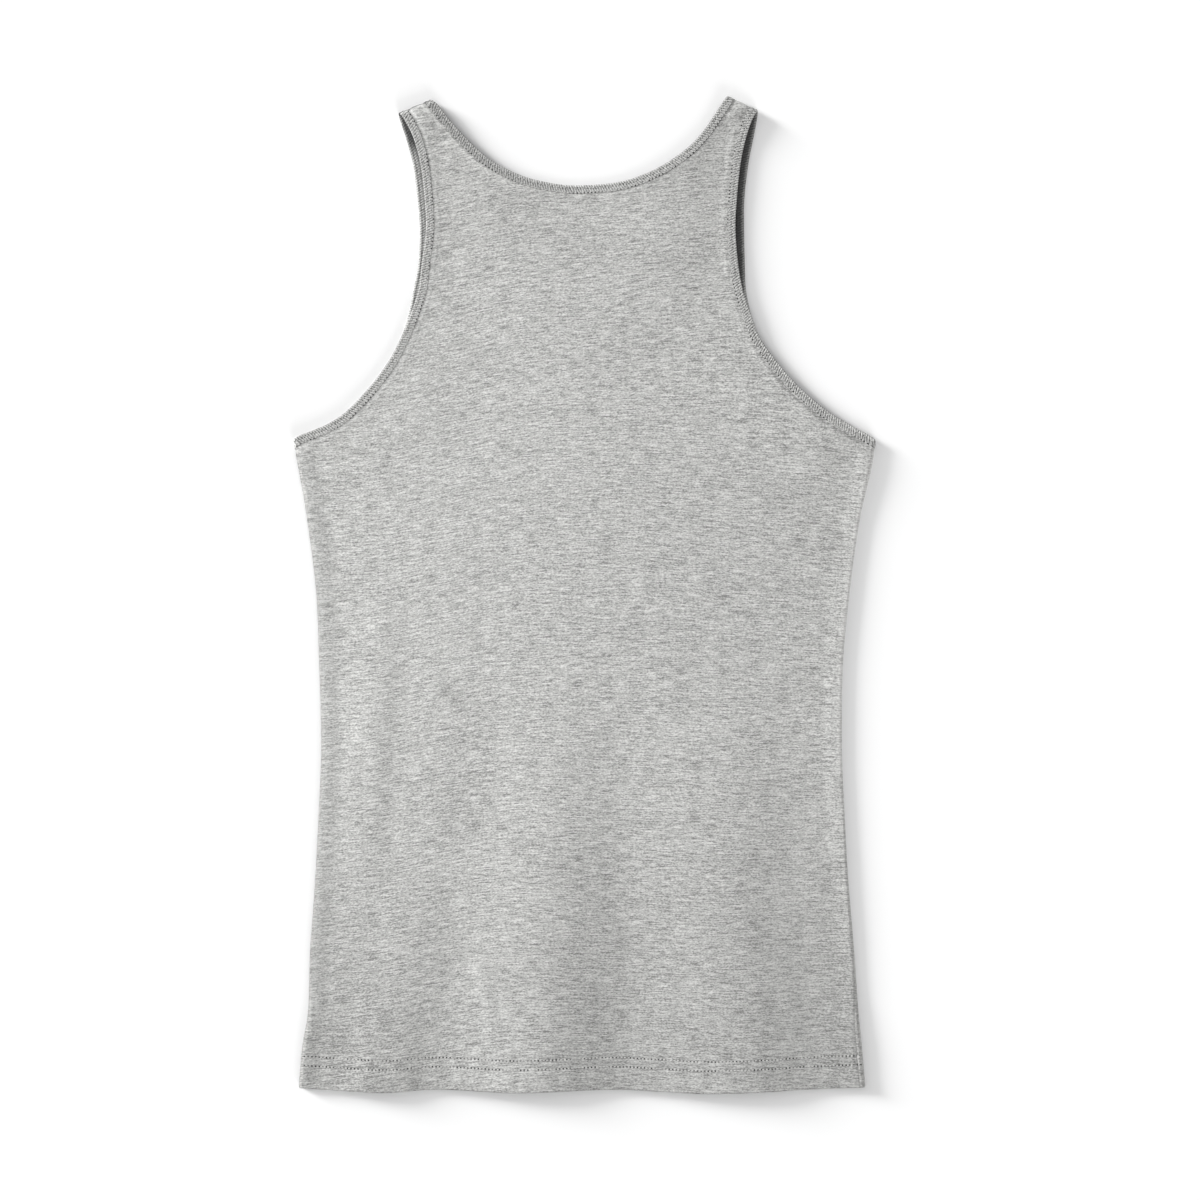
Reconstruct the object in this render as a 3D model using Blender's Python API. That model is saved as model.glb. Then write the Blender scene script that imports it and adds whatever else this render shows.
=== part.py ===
"""A knitted tank top, laid flat with its back up, as a flattened tube of two panels.

The front panel lies on the surface and the back panel lies on it. They meet at the rolled side
seams and at the folds over the shoulders. A folded strip binds the neck and each armhole.

Everything is drawn as a flat pattern first, with x across the top and h above the hem. The
function place() then lays a point of the pattern on the middle of the cloth, back or front,
and rolls it over where it nears a side seam or a shoulder fold.
"""

import math

import bmesh
import bpy
import numpy as np
from mathutils.geometry import delaunay_2d_cdt

MM = 0.001  # every size and table below is in millimetres

BACK, FRONT = 1, -1  # the upper and the lower layer

# Cloth
PANEL_THICK = 1.0
BINDING_THICK = 2.0  # the folded strip with the panel's edge in it
BINDING_WIDTH = 5.8
SEAM_GAP = 0.3
HEM_WIDTH = 21.0  # from the hem's fold to the cut edge turned up inside
HEM_TURN = 0.7  # what the turned-up layer adds to the wall
HEM_STEP = 0.8  # the way in which the wall thins at that cut edge
HEM_SLOPE = 57.0  # the way in which the back comes down off the two thick hems

# Folds: height of the fold's middle, which is half its whole height, and how far from it the
# cloth takes to lie flat
SIDE_MIDDLE = 1.8
SIDE_RISE_HEM = 0.5  # more at the hem
SIDE_RISE_BINDING = 0.5  # more under the arm
SIDE_REACH = 14.0
SHOULDER_MIDDLE = 2.8
SHOULDER_REACH = 30.0

# The front's bound edges lift the back panel, fully as far as BINDING_NEAR
BINDING_NEAR = 9.5
BINDING_FAR = 70.0
# Past the front's neck edge the back panel comes down to the surface
SAG_START = 4.0
SAG_END = 120.0

# Side edges, from the hem to the underarm
SIDES = (
    # height, left, right
    (0.0, -194.5, 191.0),
    (30.0, -192.0, 188.5),
    (55.0, -188.0, 186.0),
    (95.0, -186.7, 183.3),
    (145.0, -183.2, 179.3),
    (210.0, -179.9, 175.8),
    (240.0, -179.2, 175.1),
    (290.0, -180.5, 175.8),
    (340.0, -182.7, 180.5),
    (388.0, -188.7, 187.2),
    (420.0, -194.0, 194.5),
    (441.7, -198.2, 198.2),
)
# The right side seam leaves the edge and lies on the upper layer further down
RIGHT_SEAM = (
    # height, way in from the edge
    (0.0, 4.4),
    (35.0, 4.4),
    (77.0, 1.8),
    (150.0, 0.6),
    (185.0, 0.0),
    (441.7, 0.0),
)
# The hem's line, which dips where the back ripples up
HEM = (
    # x, height
    (-200.0, 2.7),
    (-177.0, 1.0),
    (-136.0, -1.0),
    (-104.0, 1.0),
    (-79.0, 0.3),
    (-44.0, -1.0),
    (15.0, 1.0),
    (51.0, -0.3),
    (82.0, -1.7),
    (125.0, -0.3),
    (149.0, 1.0),
    (200.0, 2.9),
)

UNDERARM_LEFT = (-198.2, 441.7)
UNDERARM_RIGHT = (198.2, 441.7)
SHOULDER_LEFT_OUT, SHOULDER_LEFT_IN = (-126.6, 664.4), (-104.4, 673.6)
SHOULDER_RIGHT_OUT, SHOULDER_RIGHT_IN = (117.8, 666.4), (97.0, 676.2)

# Armhole edges between underarm and shoulder. Back and front part above the first rows.
ARMHOLE_LOW_LEFT = (
    (-193.5, 445.1),
    (-183.9, 449.1),
    (-174.4, 453.2),
    (-162.2, 461.4),
    (-146.5, 477.7),
    (-134.3, 494.0),
    (-125.5, 510.3),
)
ARMHOLE_LOW_RIGHT = (
    (191.4, 446.4),
    (184.0, 450.4),
    (177.1, 454.6),
    (164.2, 462.7),
    (145.2, 479.1),
    (130.9, 495.4),
    (119.3, 511.7),
)
ARMHOLE_HIGH = (
    # height, left back, left front, right back, right front
    (528.0, -118.2, -119.6, 113.0, 113.2),
    (544.0, -113.0, -116.4, 107.6, 109.8),
    (562.0, -110.7, -113.0, 104.4, 109.0),
    (585.0, -107.9, -112.0, 102.6, 108.5),
    (606.0, -108.8, -113.6, 103.5, 108.7),
    (629.0, -111.5, -116.6, 105.9, 111.3),
    (646.0, -115.9, -121.0, 109.3, 114.5),
    (658.0, -121.6, -124.9, 113.2, 116.7),
)
NECK_BACK = (
    (-98.3, 668.1),
    (-92.8, 661.3),
    (-87.4, 655.2),
    (-76.5, 643.6),
    (-65.6, 634.0),
    (-54.7, 627.3),
    (-38.4, 620.5),
    (-16.7, 616.0),
    (0.0, 615.5),
    (21.4, 617.3),
    (37.7, 621.8),
    (54.1, 629.6),
    (70.4, 641.2),
    (81.3, 653.1),
    (86.7, 660.8),
    (92.1, 669.0),
)
NECK_FRONT = (
    (-102.0, 662.0),
    (-98.5, 648.0),
    (-93.5, 628.0),
    (-86.0, 604.0),
    (-75.0, 581.0),
    (-58.0, 560.0),
    (-34.0, 546.0),
    (-4.0, 541.0),
    (27.0, 546.0),
    (51.0, 560.0),
    (68.0, 581.0),
    (79.0, 604.0),
    (86.5, 628.0),
    (91.0, 648.0),
    (94.5, 663.0),
)

# Soft ripples of the back panel, each a ridge that runs up from low to high
RIPPLES = (
    # low x, low h, high x, high h, half widths left and right, rise at the low end, rise halfway
    (-141.0, 0.0, -112.0, 170.0, 34.0, 42.0, 3.0, 0.9),
    (-30.0, 0.0, -18.0, 320.0, 70.0, 60.0, 4.2, 2.5),
    (113.0, 0.0, 90.0, 300.0, 82.0, 54.0, 4.0, 2.4),
    (-152.0, 130.0, -136.0, 350.0, 28.0, 20.0, 0.3, 1.3),
)

# Mesh: spacing on the panels, down the bound edges, and of the rows beside a fold
BACK_SPACING, FRONT_SPACING = 17.0, 26.0
EDGE_SPACING = 9.0
SHOULDER_SPACING = 4.5
SIDE_HEIGHTS = np.linspace(2.5, 440, 35)  # of the points up a side seam
SEAM_TOP = 4.0  # no point of a seam is this near its binding
SIDE_ROWS = (0.8, 1.6, 2.5, 5.0, 9.0)
SHOULDER_ROWS = (0.9, 1.8, 2.8, 5.5, 11.0)
NECK_ROWS = (-3.5, 9.0)  # on the back, over the front's neck binding
FOLD_STEPS = (0.0, 0.7, 1.4, 2.1, 2.9, 4.6, 7.4)
TURN_IN = 8.0  # the binding leaves a fold square to it and has turned along the edge by here

# Section of a binding: way in from the edge, and height over the middle of the cloth
BINDING_SECTION = (
    (0.0, -0.45),
    (0.0, 0.45),
    (0.6, 0.9),
    (1.5, 1.0),
    (5.4, 1.0),
    (BINDING_WIDTH, 0.7),
    (BINDING_WIDTH, -0.7),
    (5.4, -1.0),
    (1.5, -1.0),
    (0.6, -0.9),
)

JERSEY = (0.50, 0.50, 0.49)
JERSEY_UNDER = (0.47, 0.47, 0.46)
RIB = (0.38, 0.38, 0.37)


# Lines


def spline(points, per_span=8):
    """A smooth line through the points."""
    p = np.array(points, float)
    p = np.vstack((2 * p[0] - p[1], p, 2 * p[-1] - p[-2]))
    t = np.linspace(0, 1, per_span, endpoint=False)[:, None]
    spans = []
    for a, b, c, d in zip(p, p[1:], p[2:], p[3:]):
        curve = -a + 3 * b - 3 * c + d
        bend = 2 * a - 5 * b + 4 * c - d
        spans.append(0.5 * (2 * b + (c - a) * t + bend * t**2 + curve * t**3))
    return np.vstack(spans + [p[-2:-1]])


def along(line, distance):
    """The points at these distances down a line, going straight on past its ends."""
    steps = np.linalg.norm(np.diff(line, axis=0), axis=1)
    at = np.concatenate(([0.0], np.cumsum(steps)))
    line = np.vstack((2 * line[0] - line[1], line, 2 * line[-1] - line[-2]))
    at = np.concatenate(([-steps[0]], at, [at[-1] + steps[-1]]))
    return np.stack([np.interp(distance, at, line[:, k]) for k in (0, 1)], axis=-1)


def length_of(line):
    return float(np.linalg.norm(np.diff(line, axis=0), axis=1).sum())


def evenly(line, spacing):
    """The line again, with its points about this far apart."""
    length = length_of(line)
    count = max(1, round(length / spacing))
    return along(line, np.linspace(0, length, count + 1))


def unit(v):
    return v / np.linalg.norm(v, axis=-1, keepdims=True)


def nearest(points, lines):
    """The distance from each point to the nearest of several lines."""
    best = np.full(len(points), np.inf)
    for line in lines:
        for a, b in zip(line, line[1:]):
            run = b - a
            share = np.clip(((points - a) @ run) / (run @ run), 0, 1)
            gap = points - a - share[:, None] * run
            best = np.minimum(best, np.hypot(gap[:, 0], gap[:, 1]))
    return best


def within(points, loop):
    """Which points lie inside a closed loop."""
    inside = np.zeros(len(points), bool)
    for (ax, ay), (bx, by) in zip(loop, np.roll(loop, -1, axis=0)):
        if ay != by:
            crosses = (ay > points[:, 1]) != (by > points[:, 1])
            at = ax + (points[:, 1] - ay) * (bx - ax) / (by - ay)
            inside ^= crosses & (points[:, 0] < at)
    return inside


def fade(x, full, none):
    """1 up to full, 0 from none on, and smooth between them."""
    t = np.clip((x - none) / (full - none), 0, 1)
    return t * t * (3 - 2 * t)


# The pattern's outlines, each run clockwise, so that the cloth is on the right


def armhole(side, right):
    """The edge of one armhole, up the left side or down the right."""
    column = (3 if right else 1) + (side == FRONT)
    high = [(row[column], row[0]) for row in ARMHOLE_HIGH]
    if right:
        return [SHOULDER_RIGHT_OUT, *high[::-1], *ARMHOLE_LOW_RIGHT[::-1], UNDERARM_RIGHT]
    return [UNDERARM_LEFT, *ARMHOLE_LOW_LEFT, *high, SHOULDER_LEFT_OUT]


def neck(side):
    middle = NECK_BACK if side == BACK else NECK_FRONT
    return [SHOULDER_LEFT_IN, *middle, SHOULDER_RIGHT_IN]


EDGES = {
    side: (spline(armhole(side, False)), spline(neck(side)), spline(armhole(side, True)))
    for side in (BACK, FRONT)
}
SIDE_LINE = spline(SIDES)
SEAM_LINE = spline(RIGHT_SEAM)
HEM_LINE = spline(HEM)


def side_edge(h, right):
    """Where a side edge lies at height h, and straight on above the underarm."""
    column = 2 if right else 1
    heights, edge = SIDE_LINE[:, 0], SIDE_LINE[:, column]
    slope = (edge[-1] - edge[-2]) / (heights[-1] - heights[-2])
    return np.interp(h, heights, edge) + slope * np.maximum(h - heights[-1], 0)


def hem_height(x):
    return np.interp(x, HEM_LINE[:, 0], HEM_LINE[:, 1])


# Folds. Each gives how far inside it a point lies, and the way in.


def side_fold(right):
    way = np.array((-1.0, 0.0) if right else (1.0, 0.0))

    def inside(p):
        return (p[:, 0] - side_edge(p[:, 1], right)) * way[0]

    return inside, way, SIDE_REACH


def shoulder_fold(out, inner):
    start, run = np.array(out), unit(np.subtract(inner, out))
    way = np.array((run[1], -run[0])) * math.copysign(1, run[0])

    def inside(p):
        return (p - start) @ way

    return inside, way, SHOULDER_REACH


SIDE_FOLDS = (side_fold(False), side_fold(True))
SHOULDER_FOLDS = (
    shoulder_fold(SHOULDER_LEFT_OUT, SHOULDER_LEFT_IN),
    shoulder_fold(SHOULDER_RIGHT_OUT, SHOULDER_RIGHT_IN),
)


# Heights, before any fold


def ripple(p):
    """How far the back panel's ripples raise it, each rounded across and fading up."""
    rise = np.zeros(len(p))
    for low_x, low_h, high_x, high_h, left, right, at_low, halfway in RIPPLES:
        share = (p[:, 1] - low_h) / (high_h - low_h)
        across = p[:, 0] - low_x - share * (high_x - low_x)
        across = across / np.where(across < 0, left, right)
        profile = np.where(np.abs(across) < 1, np.cos(across * math.pi / 2) ** 2, 0)
        rise += profile * np.interp(share, (-0.3, 0, 0.5, 1), (0, at_low, halfway, 0))
    return rise


def near_hem(p):
    return fade(p[:, 1], HEM_WIDTH + 5, HEM_WIDTH + 5 + HEM_SLOPE)


def near_binding(p):
    """1 beside the front's bound edges, and 0 well away from them."""
    return fade(nearest(p, EDGES[FRONT]), BINDING_NEAR, BINDING_FAR)


def back_underside(p):
    """The back's lower face: it lies on the front, and past the front's neck on the surface."""
    neck_line = EDGES[FRONT][1]
    above = p[:, 1] > np.interp(p[:, 0], neck_line[:, 0], neck_line[:, 1])
    into_hole = np.where(above, nearest(p, [neck_line]), 0)
    on_front = fade(into_hole, SAG_START, SAG_END)
    turned_up = near_hem(p) * HEM_TURN
    binding_rise = near_binding(p) * (BINDING_THICK - PANEL_THICK)
    support = PANEL_THICK + binding_rise + turned_up + SEAM_GAP
    return on_front * support + turned_up + ripple(p)


def place(side, p, half):
    """Where points of the pattern lie, on the middle of a cloth of this half thickness.

    The outer face of the front lies on the surface, at height 0.
    """
    back = back_underside(p) + half
    z = back if side == BACK else np.full(len(p), half)
    flat = p.copy()
    side_middle = SIDE_MIDDLE + SIDE_RISE_HEM * near_hem(p) + SIDE_RISE_BINDING * near_binding(p)
    for folds, middle in ((SIDE_FOLDS, side_middle), (SHOULDER_FOLDS, SHOULDER_MIDDLE)):
        radius = middle - half
        quarter = (middle - PANEL_THICK / 2) * math.pi / 2  # the same for thin and thick cloth
        for inside, way, reach in folds:
            signed = side * inside(p)  # above 0 on the upper layer
            depth = np.abs(signed)
            turn = np.clip(signed / quarter, -1, 1) * math.pi / 2
            rolled = half + radius * (1 - np.cos(turn))
            level = rolled + (depth - quarter) * (reach - rolled) / (reach - quarter)
            way_in = np.where(depth < quarter, rolled, level)
            near = depth < reach
            flat += np.where(near, way_in - inside(p), 0)[:, None] * way
            lie = back + (middle + radius - back) * fade(depth, quarter, reach)
            beyond = np.where(signed > 0, lie, half)
            turned = middle + radius * np.sin(turn)
            z = np.where(near, np.where(depth < quarter, turned, beyond), z)
    return np.column_stack((flat, z))


def facing(side, p, half, step=0.05):
    """The way out of the cloth at points of the pattern."""
    across, up = np.array((step, 0.0)), np.array((0.0, step))
    by_x = place(side, p + across, half) - place(side, p - across, half)
    by_h = place(side, p + up, half) - place(side, p - up, half)
    return unit(np.cross(by_x, by_h)) * side


# Bindings


def stations(line, first_way, last_way):
    """Points down a bound edge, each with the way into the cloth.

    At both ends the edge runs over a fold, and there the way in lies along the fold.
    """
    length = length_of(line)
    steps = np.array(FOLD_STEPS)
    count = round((length - 2 * steps[-1]) / EDGE_SPACING)
    middle = np.linspace(steps[-1], length - steps[-1], count + 1)[1:-1]
    at = np.concatenate((steps, middle, length - steps[::-1]))
    run = along(line, at + 0.5) - along(line, at - 0.5)
    square = unit(np.column_stack((run[:, 1], -run[:, 0])))
    first = fade(at, 0, TURN_IN)[:, None]
    last = fade(length - at, 0, TURN_IN)[:, None]
    way = square * (1 - first - last) + np.array(first_way) * first + np.array(last_way) * last
    return along(line, at), unit(way)


def edge_stations(side):
    """The stations of the left armhole, the neck and the right armhole of a layer."""
    below = UNDERARM_LEFT[1] - 10
    left_down = unit(np.subtract((side_edge(below, False), below), UNDERARM_LEFT))
    right_down = unit(np.subtract((side_edge(below, True), below), UNDERARM_RIGHT))
    left_in = unit(np.subtract(SHOULDER_LEFT_IN, SHOULDER_LEFT_OUT))
    right_in = unit(np.subtract(SHOULDER_RIGHT_IN, SHOULDER_RIGHT_OUT))
    ways = ((left_down, left_in), (-left_in, -right_in), (right_in, right_down))
    return [stations(line, *way) for line, way in zip(EDGES[side], ways)]


def binding(index):
    """One binding as rings of its section, down the back's edge and back up the front's."""
    half = BINDING_THICK / 2
    rings = []
    for side in (BACK, FRONT):
        edge, way = edge_stations(side)[index]
        ring = []
        for inward, over in BINDING_SECTION:
            p = edge + way * inward
            ring.append(place(side, p, half) + facing(side, p, half) * over)
        ring = np.stack(ring, axis=1)
        rings.append(ring if side == BACK else ring[::-1][1:-1])
    rings = np.concatenate(rings)
    count, around = rings.shape[:2]
    faces = []
    for i in range(count):
        for k in range(around):
            j, m = (i + 1) % count, (k + 1) % around
            faces.append((i * around + k, i * around + m, j * around + m, j * around + k))
    return rings.reshape(-1, 3), faces


# Panels


def from_fold(line, inside, distance):
    """The line from where it comes this far inside a fold."""
    depth = inside(line)
    k = int(np.argmax(depth >= distance))
    if k == 0:
        return line
    share = (distance - depth[k - 1]) / (depth[k] - depth[k - 1])
    crossing = line[k - 1] + share * (line[k] - line[k - 1])
    return np.vstack((crossing, line[k:]))


def side_seam(side, right, top):
    """The panel's own edge at a side seam, from the hem up to its binding."""
    h = SIDE_HEIGHTS[SIDE_HEIGHTS < top - SEAM_TOP]
    shift = np.interp(h, SEAM_LINE[:, 0], SEAM_LINE[:, 1]) if right else np.zeros(len(h))
    way_in = SEAM_GAP / 2 + side * shift
    return np.column_stack((side_edge(h, right) + (-way_in if right else way_in), h))


def panel_outline(side, spacing):
    """The panel's own edge, inside its bindings and up to its seams."""
    left, right = (fold[0] for fold in SIDE_FOLDS)
    shoulder_left, shoulder_right = (fold[0] for fold in SHOULDER_FOLDS)
    ends = ((left, shoulder_left), (shoulder_left, shoulder_right), (shoulder_right, right))
    bound = []
    for (edge, way), (first, last) in zip(edge_stations(side), ends):
        inner = from_fold(edge + way * (BINDING_WIDTH + SEAM_GAP), first, SEAM_GAP / 2)
        bound.append(from_fold(inner[::-1], last, SEAM_GAP / 2)[::-1])
    shoulders = [
        evenly(np.vstack((a[-1], b[0])), SHOULDER_SPACING)[1:-1]
        for a, b in zip(bound, bound[1:])
    ]
    left_seam = side_seam(side, False, bound[0][0][1])
    right_seam = side_seam(side, True, bound[2][-1][1])[::-1]
    hem = evenly(np.vstack((right_seam[-1], left_seam[0])), spacing)[1:-1]
    hem[:, 1] = hem_height(hem[:, 0])
    parts = (left_seam, bound[0], shoulders[0], bound[1], shoulders[1], bound[2])
    return np.vstack(parts + (right_seam, hem))


def fold_rows(side, spacing):
    """Lines beside the folds and at the hem's cut edge, which the mesh keeps."""
    rows = []
    h = np.concatenate(([-4.0], SIDE_HEIGHTS))  # from just below the hem
    for right in (False, True):
        into = -1 if right else 1
        for depth in SIDE_ROWS:
            rows.append(np.column_stack((side_edge(h, right) + into * depth, h)))
    if side == FRONT:
        low = h[h < RIGHT_SEAM[-2][0]]
        for depth in SIDE_ROWS[:3]:
            rows.append(np.column_stack((side_edge(low, True) + depth, low)))
        rows.append(np.column_stack((side_edge(low, True), low)))
    corners = (
        (SHOULDER_LEFT_OUT, SHOULDER_LEFT_IN, SHOULDER_FOLDS[0][1]),
        (SHOULDER_RIGHT_OUT, SHOULDER_RIGHT_IN, SHOULDER_FOLDS[1][1]),
    )
    for out, inner, way in corners:
        for depth in SHOULDER_ROWS:
            start, end = out + way * depth, inner + way * depth
            rows.append(start + np.linspace(0.05, 0.95, 6)[:, None] * (end - start))
    x = np.arange(HEM[0][0], HEM[-1][0] + 1, spacing)
    for h in (HEM_WIDTH, HEM_WIDTH + HEM_STEP):
        rows.append(np.column_stack((x, hem_height(x) + h)))
    if side == BACK:
        edge = evenly(EDGES[FRONT][1], spacing * 0.6)[4:-4]
        run = np.gradient(edge, axis=0)
        square = unit(np.column_stack((run[:, 1], -run[:, 0])))
        for beside in NECK_ROWS:
            rows.append(edge + square * beside)
    return rows


def fill(outline, rows, spacing):
    """A flat mesh of even triangles inside the outline that keeps the rows."""
    loop = np.vstack((outline, outline[:1]))
    low, high = outline.min(axis=0), outline.max(axis=0)
    step = spacing * math.sqrt(3) / 2
    grid = []
    for i, h in enumerate(np.arange(low[1] + step, high[1], step)):
        x = np.arange(low[0] + spacing * (0.25 + 0.5 * (i % 2)), high[0], spacing)
        grid.append(np.column_stack((x, np.full(len(x), h))))
    grid = np.vstack(grid)
    grid = grid[nearest(grid, [loop, *rows]) > spacing * 0.45]
    points, edges = [*outline], []
    for row in rows:
        first = len(points)
        points.extend(row)
        edges.extend((k, k + 1) for k in range(first, len(points) - 1))
    points.extend(grid)
    ring = list(range(len(outline)))
    flat, _, faces, *_ = delaunay_2d_cdt([tuple(p) for p in points], edges, [ring], 1, 0.1)
    flat = np.array(flat)
    keep = within(np.array([flat[face].mean(axis=0) for face in faces]), outline)
    faces = [face for face, kept in zip(faces, keep) if kept]
    used = sorted({v for face in faces for v in face})
    number = {v: i for i, v in enumerate(used)}
    return flat[used], [[number[v] for v in face] for face in faces]


def panel(side, spacing):
    """The panel as a shell: an outer and an inner skin, joined round their rims."""
    p, faces = fill(panel_outline(side, spacing), fold_rows(side, spacing), spacing)
    half = PANEL_THICK / 2
    middle, out = place(side, p, half), facing(side, p, half)
    turned_up = p[:, 1] - hem_height(p[:, 0]) < HEM_WIDTH + HEM_STEP / 2
    inner = half + np.where(turned_up, HEM_TURN, 0)
    points = np.vstack((middle + out * half, middle - out * inner[:, None]))
    count = len(p)
    sides = {(a, b) for face in faces for a, b in zip(face, face[1:] + face[:1])}
    rim = sorted((a, b) for a, b in sides if (b, a) not in sides)
    skins = [tuple(face) for face in faces] + [tuple(v + count for v in f[::-1]) for f in faces]
    return points, skins + [(b, a, a + count, b + count) for a, b in rim]


# Objects


def material(name, colour):
    made = bpy.data.materials.new(name)
    made.use_nodes = True
    shader = made.node_tree.nodes["Principled BSDF"]
    shader.inputs["Base Color"].default_value = (*colour, 1)
    shader.inputs["Roughness"].default_value = 0.95
    shader.inputs["Metallic"].default_value = 0
    return made


def add(name, shape, colour):
    """One solid, with the middle of the garment's outline over the origin."""
    points, faces = shape
    middle = (HEM_LINE[:, 1].min() + SHOULDER_RIGHT_IN[1]) / 2
    mesh = bpy.data.meshes.new(name)
    mesh.from_pydata(((points - (0, middle, 0)) * MM).tolist(), [], faces)
    work = bmesh.new()
    work.from_mesh(mesh)
    bmesh.ops.recalc_face_normals(work, faces=work.faces)
    work.to_mesh(mesh)
    work.free()
    mesh.shade_smooth()
    mesh.set_sharp_from_angle(angle=math.radians(50))
    mesh.materials.append(material(name, colour))
    made = bpy.data.objects.new(name, mesh)
    bpy.context.scene.collection.objects.link(made)
    return made


def main():
    for old in list(bpy.data.objects):
        bpy.data.objects.remove(old)
    add("front_panel", panel(FRONT, FRONT_SPACING), JERSEY_UNDER)
    add("back_panel", panel(BACK, BACK_SPACING), JERSEY)
    for index, name in enumerate(
        ("armhole_binding_left", "neck_binding", "armhole_binding_right")
    ):
        add(name, binding(index), RIB)


main()
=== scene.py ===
"""A tank top laid flat with its back up: jersey panels, bound edges, stitching, and the stage.

The cloth is drawn as a flat pattern in millimetres, with x across the top and h above the hem.
place() lays a point of the pattern on the middle of the cloth, back or front, and rolls it over
where it nears a side seam or a shoulder fold, just as the solids it stands for are made.
"""

import math
from functools import partialmethod

import bmesh
import bpy
import numpy as np
from bpy.props import FloatProperty, FloatVectorProperty, PointerProperty
from mathutils.geometry import delaunay_2d_cdt
from mathutils.kdtree import KDTree
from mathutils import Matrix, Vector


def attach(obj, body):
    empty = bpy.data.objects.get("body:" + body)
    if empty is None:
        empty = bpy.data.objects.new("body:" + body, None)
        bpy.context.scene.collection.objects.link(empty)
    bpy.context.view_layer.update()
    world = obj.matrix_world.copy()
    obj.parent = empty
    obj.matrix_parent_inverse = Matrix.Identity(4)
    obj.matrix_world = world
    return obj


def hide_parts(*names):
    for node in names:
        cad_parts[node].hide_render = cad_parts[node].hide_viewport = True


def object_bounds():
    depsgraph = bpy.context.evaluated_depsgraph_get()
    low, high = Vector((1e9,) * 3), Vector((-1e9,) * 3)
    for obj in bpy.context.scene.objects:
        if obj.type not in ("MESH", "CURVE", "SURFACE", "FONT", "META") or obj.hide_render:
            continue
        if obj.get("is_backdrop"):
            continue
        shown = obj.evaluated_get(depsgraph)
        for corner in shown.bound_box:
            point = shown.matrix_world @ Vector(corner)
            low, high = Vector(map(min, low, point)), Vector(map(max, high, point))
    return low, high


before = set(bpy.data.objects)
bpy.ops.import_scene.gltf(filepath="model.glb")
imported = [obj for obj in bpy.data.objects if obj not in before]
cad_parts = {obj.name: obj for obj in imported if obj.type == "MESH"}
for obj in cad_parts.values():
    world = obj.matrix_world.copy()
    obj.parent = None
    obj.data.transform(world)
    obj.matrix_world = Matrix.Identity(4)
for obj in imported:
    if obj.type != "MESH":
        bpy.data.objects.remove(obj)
CAD_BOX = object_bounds()

bl_info = {
    "name": "Tank Top",
    "version": (1, 0, 0),
    "blender": (4, 5, 0),
    "location": "View3D > Sidebar > Tank Top",
    "description": "Makes the cloth, bound edges and stitching of a tank top laid flat",
    "category": "Object",
}

MM = 0.001  # the pattern's sizes and tables are in millimetres

BACK, FRONT = 1, -1  # the upper and the lower layer

# Cloth
PANEL_THICK = 1.0
PANEL_WALL = 0.8  # what shows at an open edge
BINDING_THICK = 2.0
BINDING_WIDTH = 5.8
SEAM_GAP = 0.3  # between the back and the front
SEAM_CLOSE = 0.05  # between the two panels along a side seam
TUCK = 1.7  # the panel's edge lies this far inside the binding's fold
HEM_WIDTH = 23.0
HEM_TURN = 0.7  # how much thicker the cloth is in the hem
HEM_STEP = 0.8
HEM_LEVEL = HEM_WIDTH + 3.0  # the front's hem lifts the back to this height, and then less and less
HEM_SLOPE = 57.0
HEM_PUCKERS = (16, 5, 24, 0.10)  # height over the hem, full to this far off, gone from here, rise
BINDING_PUCKERS = (6, 20, 0.07)  # full to this far from a bound edge, gone from here, rise
RISE_IN = (BINDING_WIDTH + 0.4, BINDING_WIDTH + 5)  # here the panel rises into its binding
HELD_FLAT = (BINDING_WIDTH - 0.5, BINDING_WIDTH + 3)  # the binding holds creases flat, and then not

# Folds: the height of the cloth's middle where it turns over, and how far in it lies flat again
SIDE_MIDDLE = 1.8
SIDE_RISE_HEM = 0.5
SIDE_RISE_BINDING = 0.5
SIDE_REACH = 14.0
SHOULDER_MIDDLE = 2.8
SHOULDER_REACH = 30.0
BINDING_NEAR, BINDING_FAR = 9.5, 70.0  # the front's bindings lift the back between these
SAG_START, SAG_END = 4.0, 120.0  # the back comes down to the surface past the front's neck

SIDES = (
    # height, left, right
    (0, -194.5, 191), (30, -192, 188.5), (55, -188, 186), (95, -186.7, 183.3),
    (145, -183.2, 179.3), (210, -179.9, 175.8), (240, -179.2, 175.1), (290, -180.5, 175.8),
    (340, -182.7, 180.5), (388, -188.7, 187.2), (420, -194, 194.5), (441.7, -198.2, 198.2),
)
RIGHT_SEAM = (
    # height, way in from the edge
    (0, 4.4), (35, 4.4), (77, 1.8), (150, 0.6), (185, 0), (441.7, 0),
)
HEM = (
    # x, height
    (-200, 2.7), (-177, 1), (-136, -1), (-104, 1), (-79, 0.3), (-44, -1), (15, 1), (51, -0.3),
    (82, -1.7), (125, -0.3), (149, 1), (200, 2.9),
)

UNDERARM_LEFT = (-198.2, 441.7)
UNDERARM_RIGHT = (198.2, 441.7)
SHOULDER_LEFT_OUT, SHOULDER_LEFT_IN = (-126.6, 664.4), (-104.4, 673.6)
SHOULDER_RIGHT_OUT, SHOULDER_RIGHT_IN = (117.8, 666.4), (97.0, 676.2)

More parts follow.
